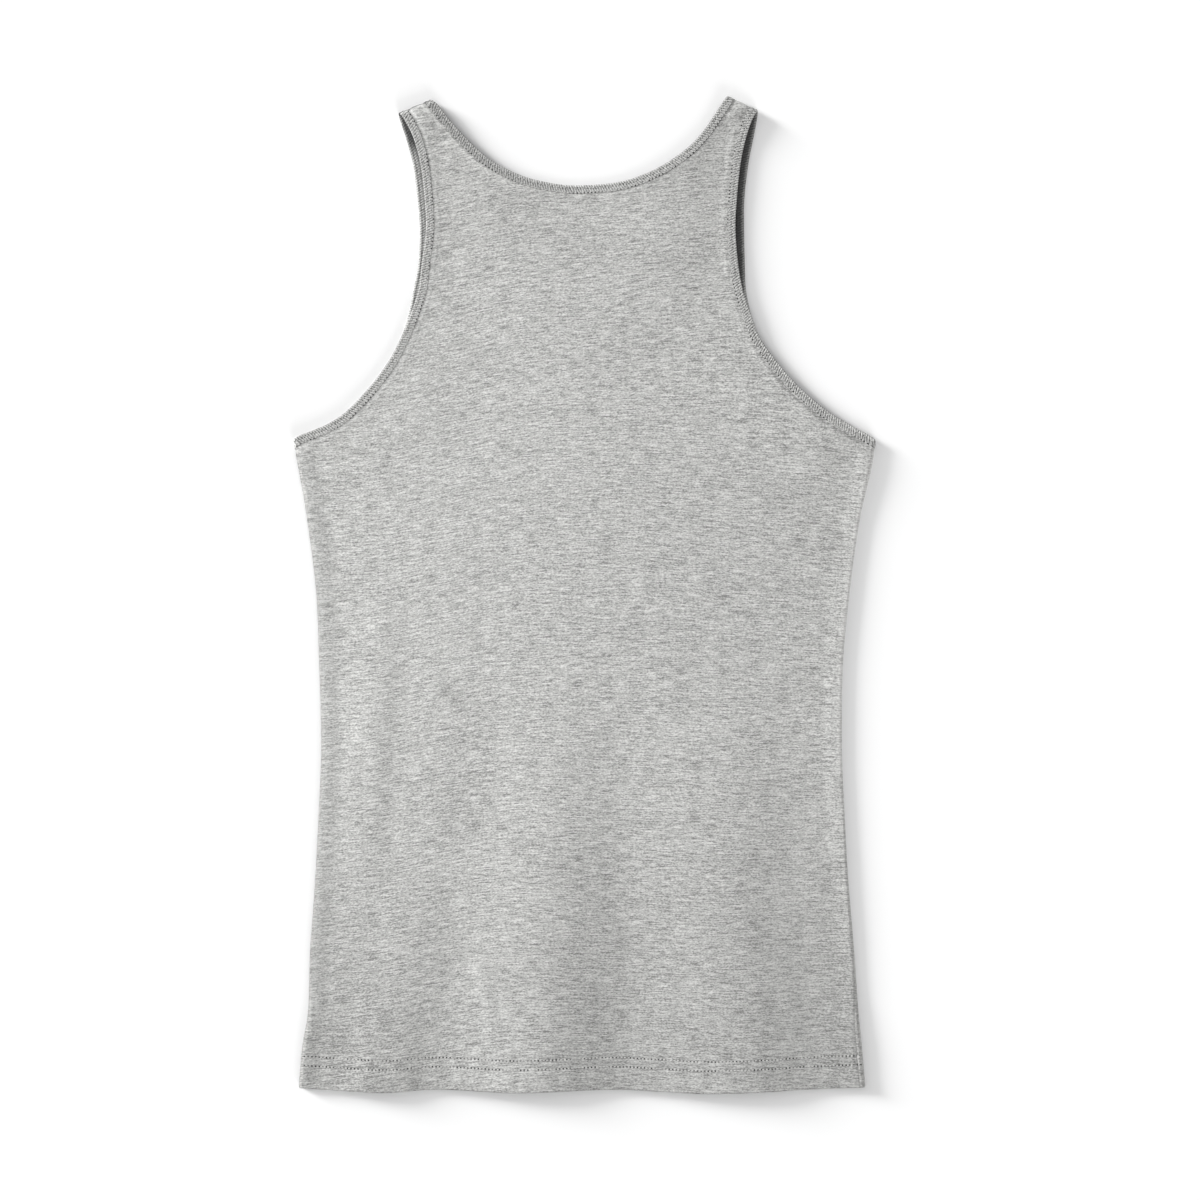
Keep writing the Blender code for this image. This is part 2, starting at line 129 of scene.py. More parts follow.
ARMHOLE_LOW_LEFT = (
    (-193.5, 445.1), (-183.9, 449.1), (-174.4, 453.2), (-162.2, 461.4), (-146.5, 477.7),
    (-134.3, 494), (-125.5, 510.3),
)
ARMHOLE_LOW_RIGHT = (
    (191.4, 446.4), (184, 450.4), (177.1, 454.6), (164.2, 462.7), (145.2, 479.1),
    (130.9, 495.4), (119.3, 511.7),
)
ARMHOLE_HIGH = (
    # height, left back, left front, right back, right front
    (528, -118.2, -119.6, 113, 113.2), (544, -113, -116.4, 107.6, 109.8),
    (562, -110.7, -113, 104.4, 109), (585, -107.9, -112, 102.6, 108.5),
    (606, -108.8, -113.6, 103.5, 108.7), (629, -111.5, -116.6, 105.9, 111.3),
    (646, -115.9, -121, 109.3, 114.5), (658, -121.6, -124.9, 113.2, 116.7),
)
NECK_BACK = (
    (-98.3, 668.1), (-92.8, 661.3), (-87.4, 655.2), (-76.5, 643.6), (-65.6, 634),
    (-54.7, 627.3), (-38.4, 620.5), (-16.7, 616), (0, 615.5), (21.4, 617.3), (37.7, 621.8),
    (54.1, 629.6), (70.4, 641.2), (81.3, 653.1), (86.7, 660.8), (92.1, 669),
)
NECK_FRONT = (
    (-102, 662), (-98.5, 648), (-93.5, 628), (-86, 604), (-75, 581), (-58, 560), (-34, 546),
    (-4, 541), (27, 546), (51, 560), (68, 581), (79, 604), (86.5, 628), (91, 648), (94.5, 663),
)

RIPPLES = (
    # low x, low h, high x, high h, half widths left and right, rise at the low end, rise halfway
    (-141, 0, -112, 170, 34, 42, 3, 0.9),
    (-30, 0, -18, 320, 70, 60, 4.2, 2.5),
    (113, 0, 90, 300, 82, 54, 4, 2.4),
    (-152, 130, -136, 350, 28, 20, 0.3, 1.3),
)
# Small creases of the back panel, soft ridges that fade out at both ends
CREASES = (
    # x and h of one end, x and h of the other, half width, rise
    (-172, 438, -108, 392, 7, 0.3),
    (-150, 470, -96, 430, 6, 0.22),
    (174, 432, 112, 404, 8, 0.26),
    (140, 478, 92, 446, 6, 0.2),
    (-112, 540, -84, 560, 5, 0.22),
    (106, 556, 76, 574, 5, 0.2),
    (-117, 618, -92, 627, 3.6, 0.24),
    (-113, 602, -88, 612, 3.2, 0.2),
    (-120, 641, -100, 650, 3.4, 0.24),
    (110, 634, 90, 644, 3.6, 0.24),
    (106, 608, 84, 616, 3.4, 0.2),
    (-182, 250, -150, 262, 6, 0.25),
    (-181, 300, -156, 286, 5, 0.2),
    (176, 236, 146, 252, 7, 0.28),
    (178, 300, 150, 322, 6, 0.22),
    (-60, 20, -74, 120, 9, 0.35),
    (52, 18, 60, 110, 10, 0.3),
    (148, 16, 132, 96, 9, 0.3),
)
# Small creases of the front panel, pressed up from the surface it lies on
FRONT_CREASES = (
    (-150, 60, -120, 190, 9, 0.22),
    (-30, 40, -44, 200, 11, 0.24),
    (70, 30, 96, 170, 10, 0.22),
    (-140, 430, -92, 396, 7, 0.2),
    (150, 436, 100, 398, 8, 0.2),
    (-20, 300, 30, 330, 9, 0.18),
)

FIELD_LOW, FIELD_HIGH, FIELD_STEP = np.array((-215.0, -12.0)), np.array((215.0, 692.0)), 2.0
FIELD_THINNING = 3  # every so many points of an edge are enough for a field

# Lines of the mesh beside a seam, a shoulder fold and the hem
EDGE_POINTS = 2.2  # down a bound edge
SIDE_ROWS = (0.35, 0.8, 1.3, 1.9, 2.6, 3.6, 5.2)
SHOULDER_ROWS = (0.6, 1.2, 1.9, 2.7, 3.6, 5.0)
HEM_ROWS = (0.1, 0.35, 0.7, 1.1, 1.8)
BESIDE_STITCHES = 0.6
BESIDE_SEAM = 0.6  # the hem's stitches end this far from it
SIDE_HEIGHTS = np.arange(2.5, 440, 3.0)
SEAM_TOP = 3.0  # a side seam's points end this far under its binding
TURN_IN = 8.0  # a binding's strip turns into line with a fold over this far

# Pressed into the outer face by a seam, with a ridge beside it, and by a row of stitches
SEAM_GROOVE, SEAM_RIDGE, ROW_GROOVE = 0.24, 0.12, 0.16
SEAM_RIDGE_AT = 1.2
RELIEF_REACH, FRONT_SEAM_REACH = 0.6, 1.0

# Section of a binding: a strip folded round the panel's edge, with a slot that the edge fills.
# Way in from the fold, and height over the middle of the cloth.
BINDING_SECTION = (
    (0, 0), (0.1, 0.42), (0.38, 0.74), (0.8, 0.95), (1.2, 1), (1.7, 0.96), (2.1, 0.78),
    (2.5, 0.9), (3, 1), (3.7, 1), (4.3, 0.92), (4.85, 0.82), (5.25, 0.64), (5.5, 0.7),
    (5.7, 0.7), (BINDING_WIDTH, 0.6), (BINDING_WIDTH - 0.1, 0.52), (3.6, 0.52), (1.5, 0.52),
    (1.2, 0.2),
)
OUTER_POINTS = 16  # of the section, on its outer face
OUTER_FACE = 0.6  # past the fold, what is higher than this is that face
ROUND_FOLD = 0.9  # up to here the ribs go round the fold
ROW_OUT, ROW_IN = 2.1, 5.25  # the two rows of stitches on a binding
RIBS_END = (ROW_IN - 0.8, ROW_IN)
RIB_SAMPLES = 6  # rings of the mesh to each rib
RIB_SLANT = 0.45  # how far a rib runs along the binding on its way in
FOLD_ROUND = 0.6  # the way over the fold, counted before the way in
BINDING_TONES_AND_PAINTED_SHADE = (
    # way in, how light: a grey fold, with painted shade where the light would bleach it, and a darker
    # run of painted shade at each row of stitches, darkest for the shadow along the inner edge
    (-0.6, 0.62), (0.1, 0.7), (0.6, 0.88), (1.4, 0.82), (2.1, 0.76), (2.8, 0.76), (3.6, 0.88),
    (4.3, 0.88), (4.9, 0.68), (5.3, 0.36), (5.9, 0.66),
)
STRAP_PAINTED_SHADOWS = (
    # the strap's painted shadow on the front's inner face: binding, height where the front's inner face
    # turns dark, height where it's darkest, darkness
    (0, 500, 560, 0.22), (0, 630, 646, 0.66), (2, 534, 556, 0.9),
)
# Mostly painted shade on the back's bindings: on folds that the light would bleach, beside the rows of
# stitches and along the inner edge; the neck's binding is also a little darker all across
BACK_DARK_AND_PAINTED_SHADE = (
    # binding, x where the back's part begins to darken, x where it's darkest, way in, reach, darkness
    (0, -60, -90, 0.1, 0.75, 0.42),
    (1, 0, 50, 0.1, 0.75, 0.42),
    (1, -200, -150, 2.6, 2.2, 0.12),
    (1, -200, -150, 5.8, 0.8, 0.12),
    (1, 10, -85, 4.2, 1, 0.3),
    (1, 10, -85, 5.6, 0.8, 0.14),
    (1, 30, 80, 5.7, 0.6, 0.4),
    (2, 60, 90, 3.8, 0.8, 0.3),
    (2, 60, 90, 5.6, 0.9, 0.28),
)
SEAM_PAINTED_SHADOW_AND_HIGHLIGHT = (
    # a painted shadow on the front beside the seam and a painted highlight on the ridge beside it: way
    # in from the seam, reach to either side, strength and grey of a line beside it
    (-0.3, 0.7, 0.14, 0.03), (1.05, 0.7, 0.08, 0.9),
)
PAINTED_LIGHT_AND_SHADE = (
    # painted light and shade where folds, ripples and the cloth by the bindings turn to or from the
    # light: 0 by the side seam or 1 by the bound edge; then x, height and distance from a line beside
    # it, each where it begins and where it's full; the line's way in, how much light is painted on
    # (below 0, shade)
    (0, -50, -100, 0, 110, 17, 5, 0, 0.14),
    (0, -110, -150, 90, 20, 90, 60, 0, -0.06),
    (0, 50, 100, -20, -10, 18, 5, 0, -0.07),
    (0, 50, 100, 20, 150, 5, 0.8, 1, 0.12),
    (0, 50, 100, 110, 300, 5, 0.8, 1, 0.15),
    (0, 50, 100, 150, 250, 1.8, 0.7, 0.9, 0.2),
    (0, 50, 100, 65, 45, 2.2, 1, -3.8, 0.3),
    (0, 50, 100, 60, 45, 1.2, 0.5, -0.1, 0.16),
    (0, 50, 100, 45, 65, 3, 1.6, -2.4, 0.24),
    (0, 50, 100, 60, 75, 2.2, 1.2, -1.3, 0.2),
    (0, 50, 100, 190, 140, 24, 8, 40, 0.09),
    (0, -110, -150, 405, 425, 4.5, 2.5, 0, -0.36),
    (0, -100, -130, 110, 60, 24, 8, 40, -0.1),
    (0, -30, -50, 140, 190, 30, 10, 101, -0.09),
    (0, -30, -50, 260, 310, 30, 10, 101, 0.09),
    (1, 105, 60, 400, 445, 1.8, 0.5, 7.6, 0.12),
    (1, -90, -120, 400, 445, 1.8, 0.5, 7.4, 0.08),
    (1, 84, 97, 400, 445, 1.8, 0.5, 7, -0.15),
    (1, 118, 135, 400, 445, 1.6, 0.5, 7.5, -0.18),
    (1, -55, -75, 610, 630, 1, 0.3, 6.4, -0.25),
)
PAINTED_FALLOFF_SHADE = (
    # painted shade where the light falls off, to the right, towards the hem and towards the top: 0
    # across or 1 up the cloth, where it begins to darken and is darkest, by how much
    (0, -180, 180, 0.16), (0, 150, 180, 0.04), (1, 250, 20, 0.15), (1, 500, 610, 0.06),
)
# Folds that the light would bleach: how far off the dark begins, where it's full, by how much
LEFT_FOLD_DARK = (2.8, 0.6, 0.73)
LEFT_SHOULDER_DARK = (3.4, 1.6, 0.66)
SHOULDER_SHADE = (0.8, 2.8, 0.8)  # the bindings': full to this far off the fold, gone, how dark
ON_LEFT = (-50, -100)  # x where these folds' dark begins and is full

COURSE_RISES = (
    # x, how steeply a course rises to the right there: in the body, and above the underarms
    (-200, 0.07, 0.2), (-157, 0.1, 0.21), (-122, 0.18, 0.22), (-87, 0.18, 0.2),
    (-52, 0.09, 0.17), (-17, 0.01, 0.05), (17, 0.01, 0.11), (52, -0.04, 0.1), (87, -0.04, 0.05),
    (122, -0.01, 0.03), (200, -0.07, -0.07),
)
RISES_TURN = (420, 530)  # the heights between which the one turns into the other
HEATHER = (
    # a fleck's length in streaks, its height in courses, how much it shows, a place in the noise
    (1, 1.15, 1.5, 0),
    (0.15, 1, 1.55, 3.7),
    (0.07, 0.8, 0.8, 6.4),
    (2, 2.6, 0.4, 8.1),
    (5.5, 12, 0.22, 5.3),
)
PAINTED_SHADE_COLOUR = (0.02, 0.02, 0.02, 1)  # near-black painted shade: inside a needle's hole, and on the hem's edge, the left folds and the bindings by the straps
HEM_HOLE, BINDING_HOLE = 0.78, 0.8  # how far a hole's painted shade reaches
HOLES_DARK, OUTER_HOLES_DARK = 1.2, 0.6
PAINTED_SHADE_BETWEEN_LOOPS = 0.22  # how much darker the jersey is there: painted shade in the hollows between the loops
HEM_EDGE_PAINTED_SHADE = (1.0, 0.0, 0.4)  # painted shade on the hem's lower edge, which turns away from the light: how far up it begins, where it's full, by how much
LOOP_DEPTH, TWIST_DEPTH = 0.12, 0.05  # of the bump

# Stitches
TWIST = 0.5  # one turn of the sewing thread
TWIST_STEP = 7.3  # moves each stitch's twist on from the last one's
STITCH_HALF = 0.33  # half a stitch's length, as a share of the way to the next
STITCH_BEND = 0.9  # how far its ends go down, in half thicknesses
HEM_PROUD = {BACK: 0.3, FRONT: -0.2}  # how far its middle stands over the cloth, in thicknesses
BINDING_PROUD = {BACK: 0.35, FRONT: -0.1}

# Stage, in metres
LIGHTS = (
    # name, strength, how many degrees wide, turned down from overhead, turned round
    ("key", 7.2, 20, 80.3, -117),
    ("upper key", 0.4, 24, 62, -117),
    ("fill", 1.7, 34, 74, 18),
)
SKY = 0.525  # strength of the white world
FLOOR_SIZE = 12
CAMERA_AT = (0.0105, -0.0037, 2.4)
SEEN = 0.816  # how wide a stretch of the floor the camera sees
SENSOR = 36.0  # in millimetres


# Properties


def millimetres(name, description, default, least, most):
    """A length in metres, given in millimetres here."""
    return FloatProperty(
        name=name,
        description=description,
        default=default * MM,
        min=least * MM,
        max=most * MM,
        unit="LENGTH",
    )


def colour_property(name, description, default):
    return FloatVectorProperty(
        name=name, description=description, default=default, size=3, min=0, max=1, subtype="COLOR"
    )


class TankTopSizes(bpy.types.PropertyGroup):
    spacing: millimetres("Mesh spacing", "How far apart the points of the panels' meshes lie", 3, 2.6, 8)
    wale: millimetres("Wale", "Width of one column of knitted loops", 0.86, 0.3, 4)
    course: millimetres("Course", "Height of one row of knitted loops", 0.72, 0.3, 4)
    streak: millimetres("Streak", "Usual length of a dark or light fleck of the heather", 10, 1, 40)
    rib: millimetres("Rib", "Distance between the ribs across a binding", 1.7, 1, 6)
    rib_depth: millimetres("Rib depth", "How far a rib stands over the hollow beside it", 0.24, 0, 0.6)
    stitch: millimetres("Stitch length", "Distance from one stitch to the next", 2.4, 1.2, 6)
    thread: millimetres("Thread", "Thickness of the sewing thread", 0.42, 0.1, 1)
    hem_row_low: millimetres("Lower hem row", "Height of the hem's lower row of stitches", 15.7, 4, 20)
    hem_row_high: millimetres("Upper hem row", "Height of the hem's upper row", 21.9, 8, 22.4)


class TankTopColours(bpy.types.PropertyGroup):
    jersey_light: colour_property("Jersey, light", "Light fibres of the jersey", (0.845, 0.845, 0.826))
    jersey_dark: colour_property("Jersey, dark", "Dark fibres of the jersey", (0.237, 0.237, 0.231))
    rib_light: colour_property("Rib, light", "Light fibres of the bindings", (0.72, 0.72, 0.705))
    rib_dark: colour_property("Rib, dark", "Dark fibres of the bindings", (0.10, 0.10, 0.098))
    thread: colour_property("Thread", "Sewing thread", (0.74, 0.74, 0.72))
    floor: colour_property("Floor", "The surface that the top lies on", (0.93, 0.93, 0.93))


def sizes():
    return bpy.context.scene.tank_top_sizes


def colours():
    return bpy.context.scene.tank_top_colours


def hem_rows():
    """Heights of the two rows of stitches over the hem's edge."""
    return sizes().hem_row_low / MM, sizes().hem_row_high / MM


def stitch_size():
    """From one stitch to the next, and the thread's thickness."""
    return sizes().stitch / MM, sizes().thread / MM


# Lines of the pattern


def spline(points, per_span=8):
    """A smooth line through the points."""
    p = np.array(points, float)
    p = np.vstack((2 * p[0] - p[1], p, 2 * p[-1] - p[-2]))
    t = np.linspace(0, 1, per_span, endpoint=False)[:, None]
    spans = []
    for a, b, c, d in zip(p, p[1:], p[2:], p[3:]):
        curve = -a + 3 * b - 3 * c + d
        bend = 2 * a - 5 * b + 4 * c - d
        spans.append(0.5 * (2 * b + (c - a) * t + bend * t**2 + curve * t**3))
    return np.vstack(spans + [p[-2:-1]])


def along(line, distance):
    """The points at these distances down a line, going straight on past its ends."""
    steps = np.linalg.norm(np.diff(line, axis=0), axis=1)
    at = np.concatenate(([0.0], np.cumsum(steps)))
    line = np.vstack((2 * line[0] - line[1], line, 2 * line[-1] - line[-2]))
    at = np.concatenate(([-steps[0]], at, [at[-1] + steps[-1]]))
    return np.stack([np.interp(distance, at, column) for column in line.T], axis=-1)


def length_of(line):
    return float(np.linalg.norm(np.diff(line, axis=0), axis=1).sum())


def evenly(line, spacing):
    """The line again, with its points about this far apart."""
    length = length_of(line)
    count = max(1, round(length / spacing))
    return along(line, np.linspace(0, length, count + 1))


def unit(v):
    return v / np.linalg.norm(v, axis=-1, keepdims=True)


def nearest(points, lines):
    """The distance from each point to the nearest of several lines."""
    best = np.full(len(points), np.inf)
    for line in lines:
        for a, b in zip(line, line[1:]):
            run = b - a
            share = np.clip(((points - a) @ run) / (run @ run), 0, 1)
            gap = points - a - share[:, None] * run
            best = np.minimum(best, np.einsum("ij,ij->i", gap, gap))
    return np.sqrt(best)


def distance_field(lines):
    """A quick stand-in for nearest(), read between the points of a grid."""
    x = np.arange(FIELD_LOW[0], FIELD_HIGH[0], FIELD_STEP)
    h = np.arange(FIELD_LOW[1], FIELD_HIGH[1], FIELD_STEP)
    grid = np.stack(np.meshgrid(x, h, indexing="ij"), axis=-1)
    lines = [line[::FIELD_THINNING] for line in lines]
    table = nearest(grid.reshape(-1, 2), lines).reshape(grid.shape[:2])

    def distance(p):
        at = (p - FIELD_LOW) / FIELD_STEP
        cell = np.clip(at.astype(int), 0, np.array(table.shape) - 2)
        (i, j), (u, v) = cell.T, (at - cell).T
        low = table[i, j] * (1 - v) + table[i, j + 1] * v
        high = table[i + 1, j] * (1 - v) + table[i + 1, j + 1] * v
        return low * (1 - u) + high * u

    return distance


def within(points, loop):
    """Which points lie inside a closed loop."""
    inside = np.zeros(len(points), bool)
    for (ax, ay), (bx, by) in zip(loop, np.roll(loop, -1, axis=0)):
        if ay != by:
            crosses = (ay > points[:, 1]) != (by > points[:, 1])
            at = ax + (points[:, 1] - ay) * (bx - ax) / (by - ay)
            inside ^= crosses & (points[:, 0] < at)
    return inside


def fade(x, full, none):
    """1 up to full, 0 from none on, and smooth between them."""
    t = np.clip((x - none) / (full - none), 0, 1)
    return t * t * (3 - 2 * t)


def bell(x, middle, reach):
    """1 at the middle, falling off to either side."""
    return np.exp(-(((x - middle) / reach) ** 2))


def rounded_ridge(across):
    """1 at 0, and 0 from -1 and 1 on."""
    return np.where(np.abs(across) < 1, np.cos(across * math.pi / 2) ** 2, 0)


def armhole(side, right):
    """The edge of one armhole, up the left side or down the right."""
    column = (3 if right else 1) + (side == FRONT)
    high = [(row[column], row[0]) for row in ARMHOLE_HIGH]
    if right:
        return [SHOULDER_RIGHT_OUT, *high[::-1], *ARMHOLE_LOW_RIGHT[::-1], UNDERARM_RIGHT]
    return [UNDERARM_LEFT, *ARMHOLE_LOW_LEFT, *high, SHOULDER_LEFT_OUT]


def neck(side):
    middle = NECK_BACK if side == BACK else NECK_FRONT
    return [SHOULDER_LEFT_IN, *middle, SHOULDER_RIGHT_IN]


EDGES = {
    side: (spline(armhole(side, False)), spline(neck(side)), spline(armhole(side, True)))
    for side in (BACK, FRONT)
}
FROM_EDGES = {side: distance_field(EDGES[side]) for side in EDGES}
FROM_NECK = distance_field([EDGES[FRONT][1]])
SIDE_LINE = spline(SIDES)
SEAM_LINE = spline(RIGHT_SEAM)
HEM_LINE = spline(HEM)
MIDDLE = (HEM_LINE[:, 1].min() + SHOULDER_RIGHT_IN[1]) / 2  # the height over the origin


def side_edge(h, right):
    """Where a side edge lies at height h, and straight on above the underarm."""
    heights, edge = SIDE_LINE[:, 0], SIDE_LINE[:, 2 if right else 1]
    slope = (edge[-1] - edge[-2]) / (heights[-1] - heights[-2])
    return np.interp(h, heights, edge) + slope * np.maximum(h - heights[-1], 0)


def hem_height(x):
    return np.interp(x, *HEM_LINE.T)


def over_hem(p):
    return p[:, 1] - hem_height(p[:, 0])


def seam_shift(h, right):
    """How far a side seam is rolled in from its edge, onto the back."""
    return np.interp(h, *SEAM_LINE.T) if right else np.zeros(len(h))


def side_fold(right):
    way = np.array((-1.0, 0.0) if right else (1.0, 0.0))

    def inside(p):
        return (p[:, 0] - side_edge(p[:, 1], right)) * way[0]

    return inside, way, SIDE_REACH


def shoulder_fold(out, inner):
    start, run = np.array(out), unit(np.subtract(inner, out))
    way = np.array((run[1], -run[0])) * math.copysign(1, run[0])

    def inside(p):
        return (p - start) @ way

    return inside, way, SHOULDER_REACH


SIDE_FOLDS = (side_fold(False), side_fold(True))
UNDERARMS = (UNDERARM_LEFT, UNDERARM_RIGHT)
SHOULDERS = ((SHOULDER_LEFT_OUT, SHOULDER_LEFT_IN), (SHOULDER_RIGHT_OUT, SHOULDER_RIGHT_IN))
SHOULDER_FOLDS = tuple(shoulder_fold(*ends) for ends in SHOULDERS)


# Heights of the cloth


def ripple(p):
    """How far the back panel's ripples raise it, each rounded across and fading up."""
    x, h = p.T
    rise = np.zeros(len(p))
    for low_x, low_h, high_x, high_h, left, right, at_low, halfway in RIPPLES:
        share = (h - low_h) / (high_h - low_h)
        across = x - low_x - share * (high_x - low_x)
        profile = rounded_ridge(across / np.where(across < 0, left, right))
        rise += profile * np.interp(share, (-0.3, 0, 0.5, 1), (0, at_low, halfway, 0))
    return rise


def creased(p, table):
    """How far small creases raise the cloth."""
    rise = np.zeros(len(p))
    for x0, h0, x1, h1, half_width, height in table:
        run = np.array((x1 - x0, h1 - h0))
        share = ((p - (x0, h0)) @ run) / (run @ run)
        across = ((p - (x0, h0)) @ (-run[1], run[0])) / np.linalg.norm(run)
        fading = np.sin(np.clip(share, 0, 1) * math.pi)
        rise += rounded_ridge(across / half_width) * fading * height
    return rise


def puckers(p, side):
    """Small uneven waves where sewing has drawn the cloth in, along the hem and the bindings."""
    x, h = p.T
    middle, *reach, rise = HEM_PUCKERS
    along_hem = rise * fade(np.abs(over_hem(p) - middle), *reach)
    along_hem *= 1 + np.sin(x / 2.9 + 1.7 * np.sin(x / 13))
    *reach, rise = BINDING_PUCKERS
    turn = x * 0.62 + h * 0.55 * np.sign(x)
    along_binding = rise * fade(FROM_EDGES[side](p), *reach)
    along_binding *= 1 + np.sin(turn + 1.3 * np.sin(turn / 4.1))
    return along_hem + along_binding


def near_hem(p):
    return fade(p[:, 1], HEM_LEVEL, HEM_LEVEL + HEM_SLOPE)


def near_binding(p):
    """1 beside the front's bound edges, and 0 well away from them."""
    return fade(FROM_EDGES[FRONT](p), BINDING_NEAR, BINDING_FAR)


def back_underside(p):
    """The back's lower face: it lies on the front, and past the front's neck on the surface."""
    above = p[:, 1] > np.interp(p[:, 0], *EDGES[FRONT][1].T)
    into_hole = np.where(above, FROM_NECK(p), 0)
    on_front = fade(into_hole, SAG_START, SAG_END)
    turned_up = near_hem(p) * HEM_TURN
    binding_rise = near_binding(p) * (BINDING_THICK - PANEL_THICK)
    support = PANEL_THICK + binding_rise + turned_up + SEAM_GAP
    return on_front * support + turned_up + ripple(p)


def place(side, p, half, extra=0.0):
    """Where points of the pattern lie, on the middle of a cloth of this half thickness.

    The outer face of the front lies on the surface, at height 0. The extra height is faded out
    into the folds.
    """
    back = back_underside(p) + half + extra
    z = back if side == BACK else half + extra + np.zeros(len(p))
    flat = p.copy()
    side_middle = SIDE_MIDDLE + SIDE_RISE_HEM * near_hem(p) + SIDE_RISE_BINDING * near_binding(p)
    for folds, middle in ((SIDE_FOLDS, side_middle), (SHOULDER_FOLDS, SHOULDER_MIDDLE)):
        radius = middle - half
        quarter = (middle - PANEL_THICK / 2) * math.pi / 2  # the same for thin and thick cloth
        for inside, way, reach in folds:
            signed = side * inside(p)  # above 0 on the upper layer
            depth = np.abs(signed)
            turn = np.clip(signed / quarter, -1, 1) * math.pi / 2
            rolled = half + radius * (1 - np.cos(turn))
            level = rolled + (depth - quarter) * (reach - rolled) / (reach - quarter)
            way_in = np.where(depth < quarter, rolled, level)
            near = depth < reach
            flat += np.where(near, way_in - inside(p), 0)[:, None] * way
            lie = back + (middle + radius - back) * fade(depth, quarter, reach)
            low = half + extra * (1 - fade(depth, quarter, reach))
            beyond = np.where(signed > 0, lie, low)
            turned = middle + radius * np.sin(turn)
            z = np.where(near, np.where(depth < quarter, turned, beyond), z)
    return np.column_stack((flat, z))


def seat(side, p):
    """Half thickness that sets the panel's middle: it rises into the middle of its bindings."""
    into = fade(FROM_EDGES[side](p), *RISE_IN)
    return (PANEL_THICK + (BINDING_THICK - PANEL_THICK) * into) / 2


def small_rise(side, p):
    """The small creases and puckers, which the bindings hold flat."""
    table = CREASES if side == BACK else FRONT_CREASES
    held = fade(FROM_EDGES[side](p), *HELD_FLAT)
    return (creased(p, table) + puckers(p, side)) * (1 - held)


def panel_middle(side, p):
    return place(side, p, seat(side, p), small_rise(side, p))


def binding_middle(side, p):
    return place(side, p, BINDING_THICK / 2)


def facing(middle, side, p, step=0.05):
    """The way out of the cloth at points of the pattern."""
    across, up = np.array((step, 0.0)), np.array((0.0, step))
    by_x = middle(side, p + across) - middle(side, p - across)
    by_h = middle(side, p + up) - middle(side, p - up)
    return unit(np.cross(by_x, by_h)) * side


# Bindings


def ways_in(side):
    """The lines of the left armhole, the neck and the right armhole, each with the ways into
    the cloth at its two ends, which lie along the folds there."""
    below = UNDERARM_LEFT[1] - 10
    sides = ((side_edge(below, right), below) for right in (False, True))
    left_down, right_down = (unit(np.subtract(*ends)) for ends in zip(sides, UNDERARMS))
    left_in, right_in = (unit(np.subtract(inner, out)) for out, inner in SHOULDERS)
    ways = ((left_down, left_in), (-left_in, -right_in), (right_in, right_down))
    return [(line, *way) for line, way in zip(EDGES[side], ways)]


def stations(line, first_way, last_way, at, step=1.5):
    """Points at these distances down a bound edge, each with the way into the cloth."""
    run = along(line, at + step) - along(line, at - step)
    square = unit(np.column_stack((run[:, 1], -run[:, 0])))
    first = fade(at, 0, TURN_IN)[:, None]
    last = fade(length_of(line) - at, 0, TURN_IN)[:, None]
    way = square * (1 - first - last) + np.array(first_way) * first + np.array(last_way) * last
    return along(line, at), unit(way)


def whole_section():
    """The section's points all round, the upper half and then the lower."""
    upper = np.array(BINDING_SECTION)
    return np.vstack((upper, (upper * (1, -1))[:0:-1]))


def rib_height(phase, inward, over):
    """How the outer faces of a binding rise and fall, from 0 on a rib to -1 between two."""
    outside = (np.abs(over) > OUTER_FACE) | (inward < ROUND_FOLD)
    return (0.5 * np.cos(phase) - 0.5) * fade(inward, *RIBS_END) * outside


def strap_painted_shadow(index, side, h):
    """How dark the painted shadow on the inner face of a binding is at these heights: only the front's,
    by a strap.
    """
    shade = np.zeros(len(h))
    for which, start, full, darkness in STRAP_PAINTED_SHADOWS:
        if which == index and side == FRONT:
            shade += darkness * fade(h, full, start)
    return shade


def back_dark_and_painted_shade(index, x, inward):
    """How dark the back's part of a binding is, mostly painted shade: a row for each x across, by the
    ways in.
    """
    shade = np.zeros((len(x), len(inward)))
    for which, start, full, way_in, reach, darkness in BACK_DARK_AND_PAINTED_SHADE:
        if which == index:
            shade += darkness * np.outer(fade(x, full, start), bell(inward, way_in, reach))
    return shade


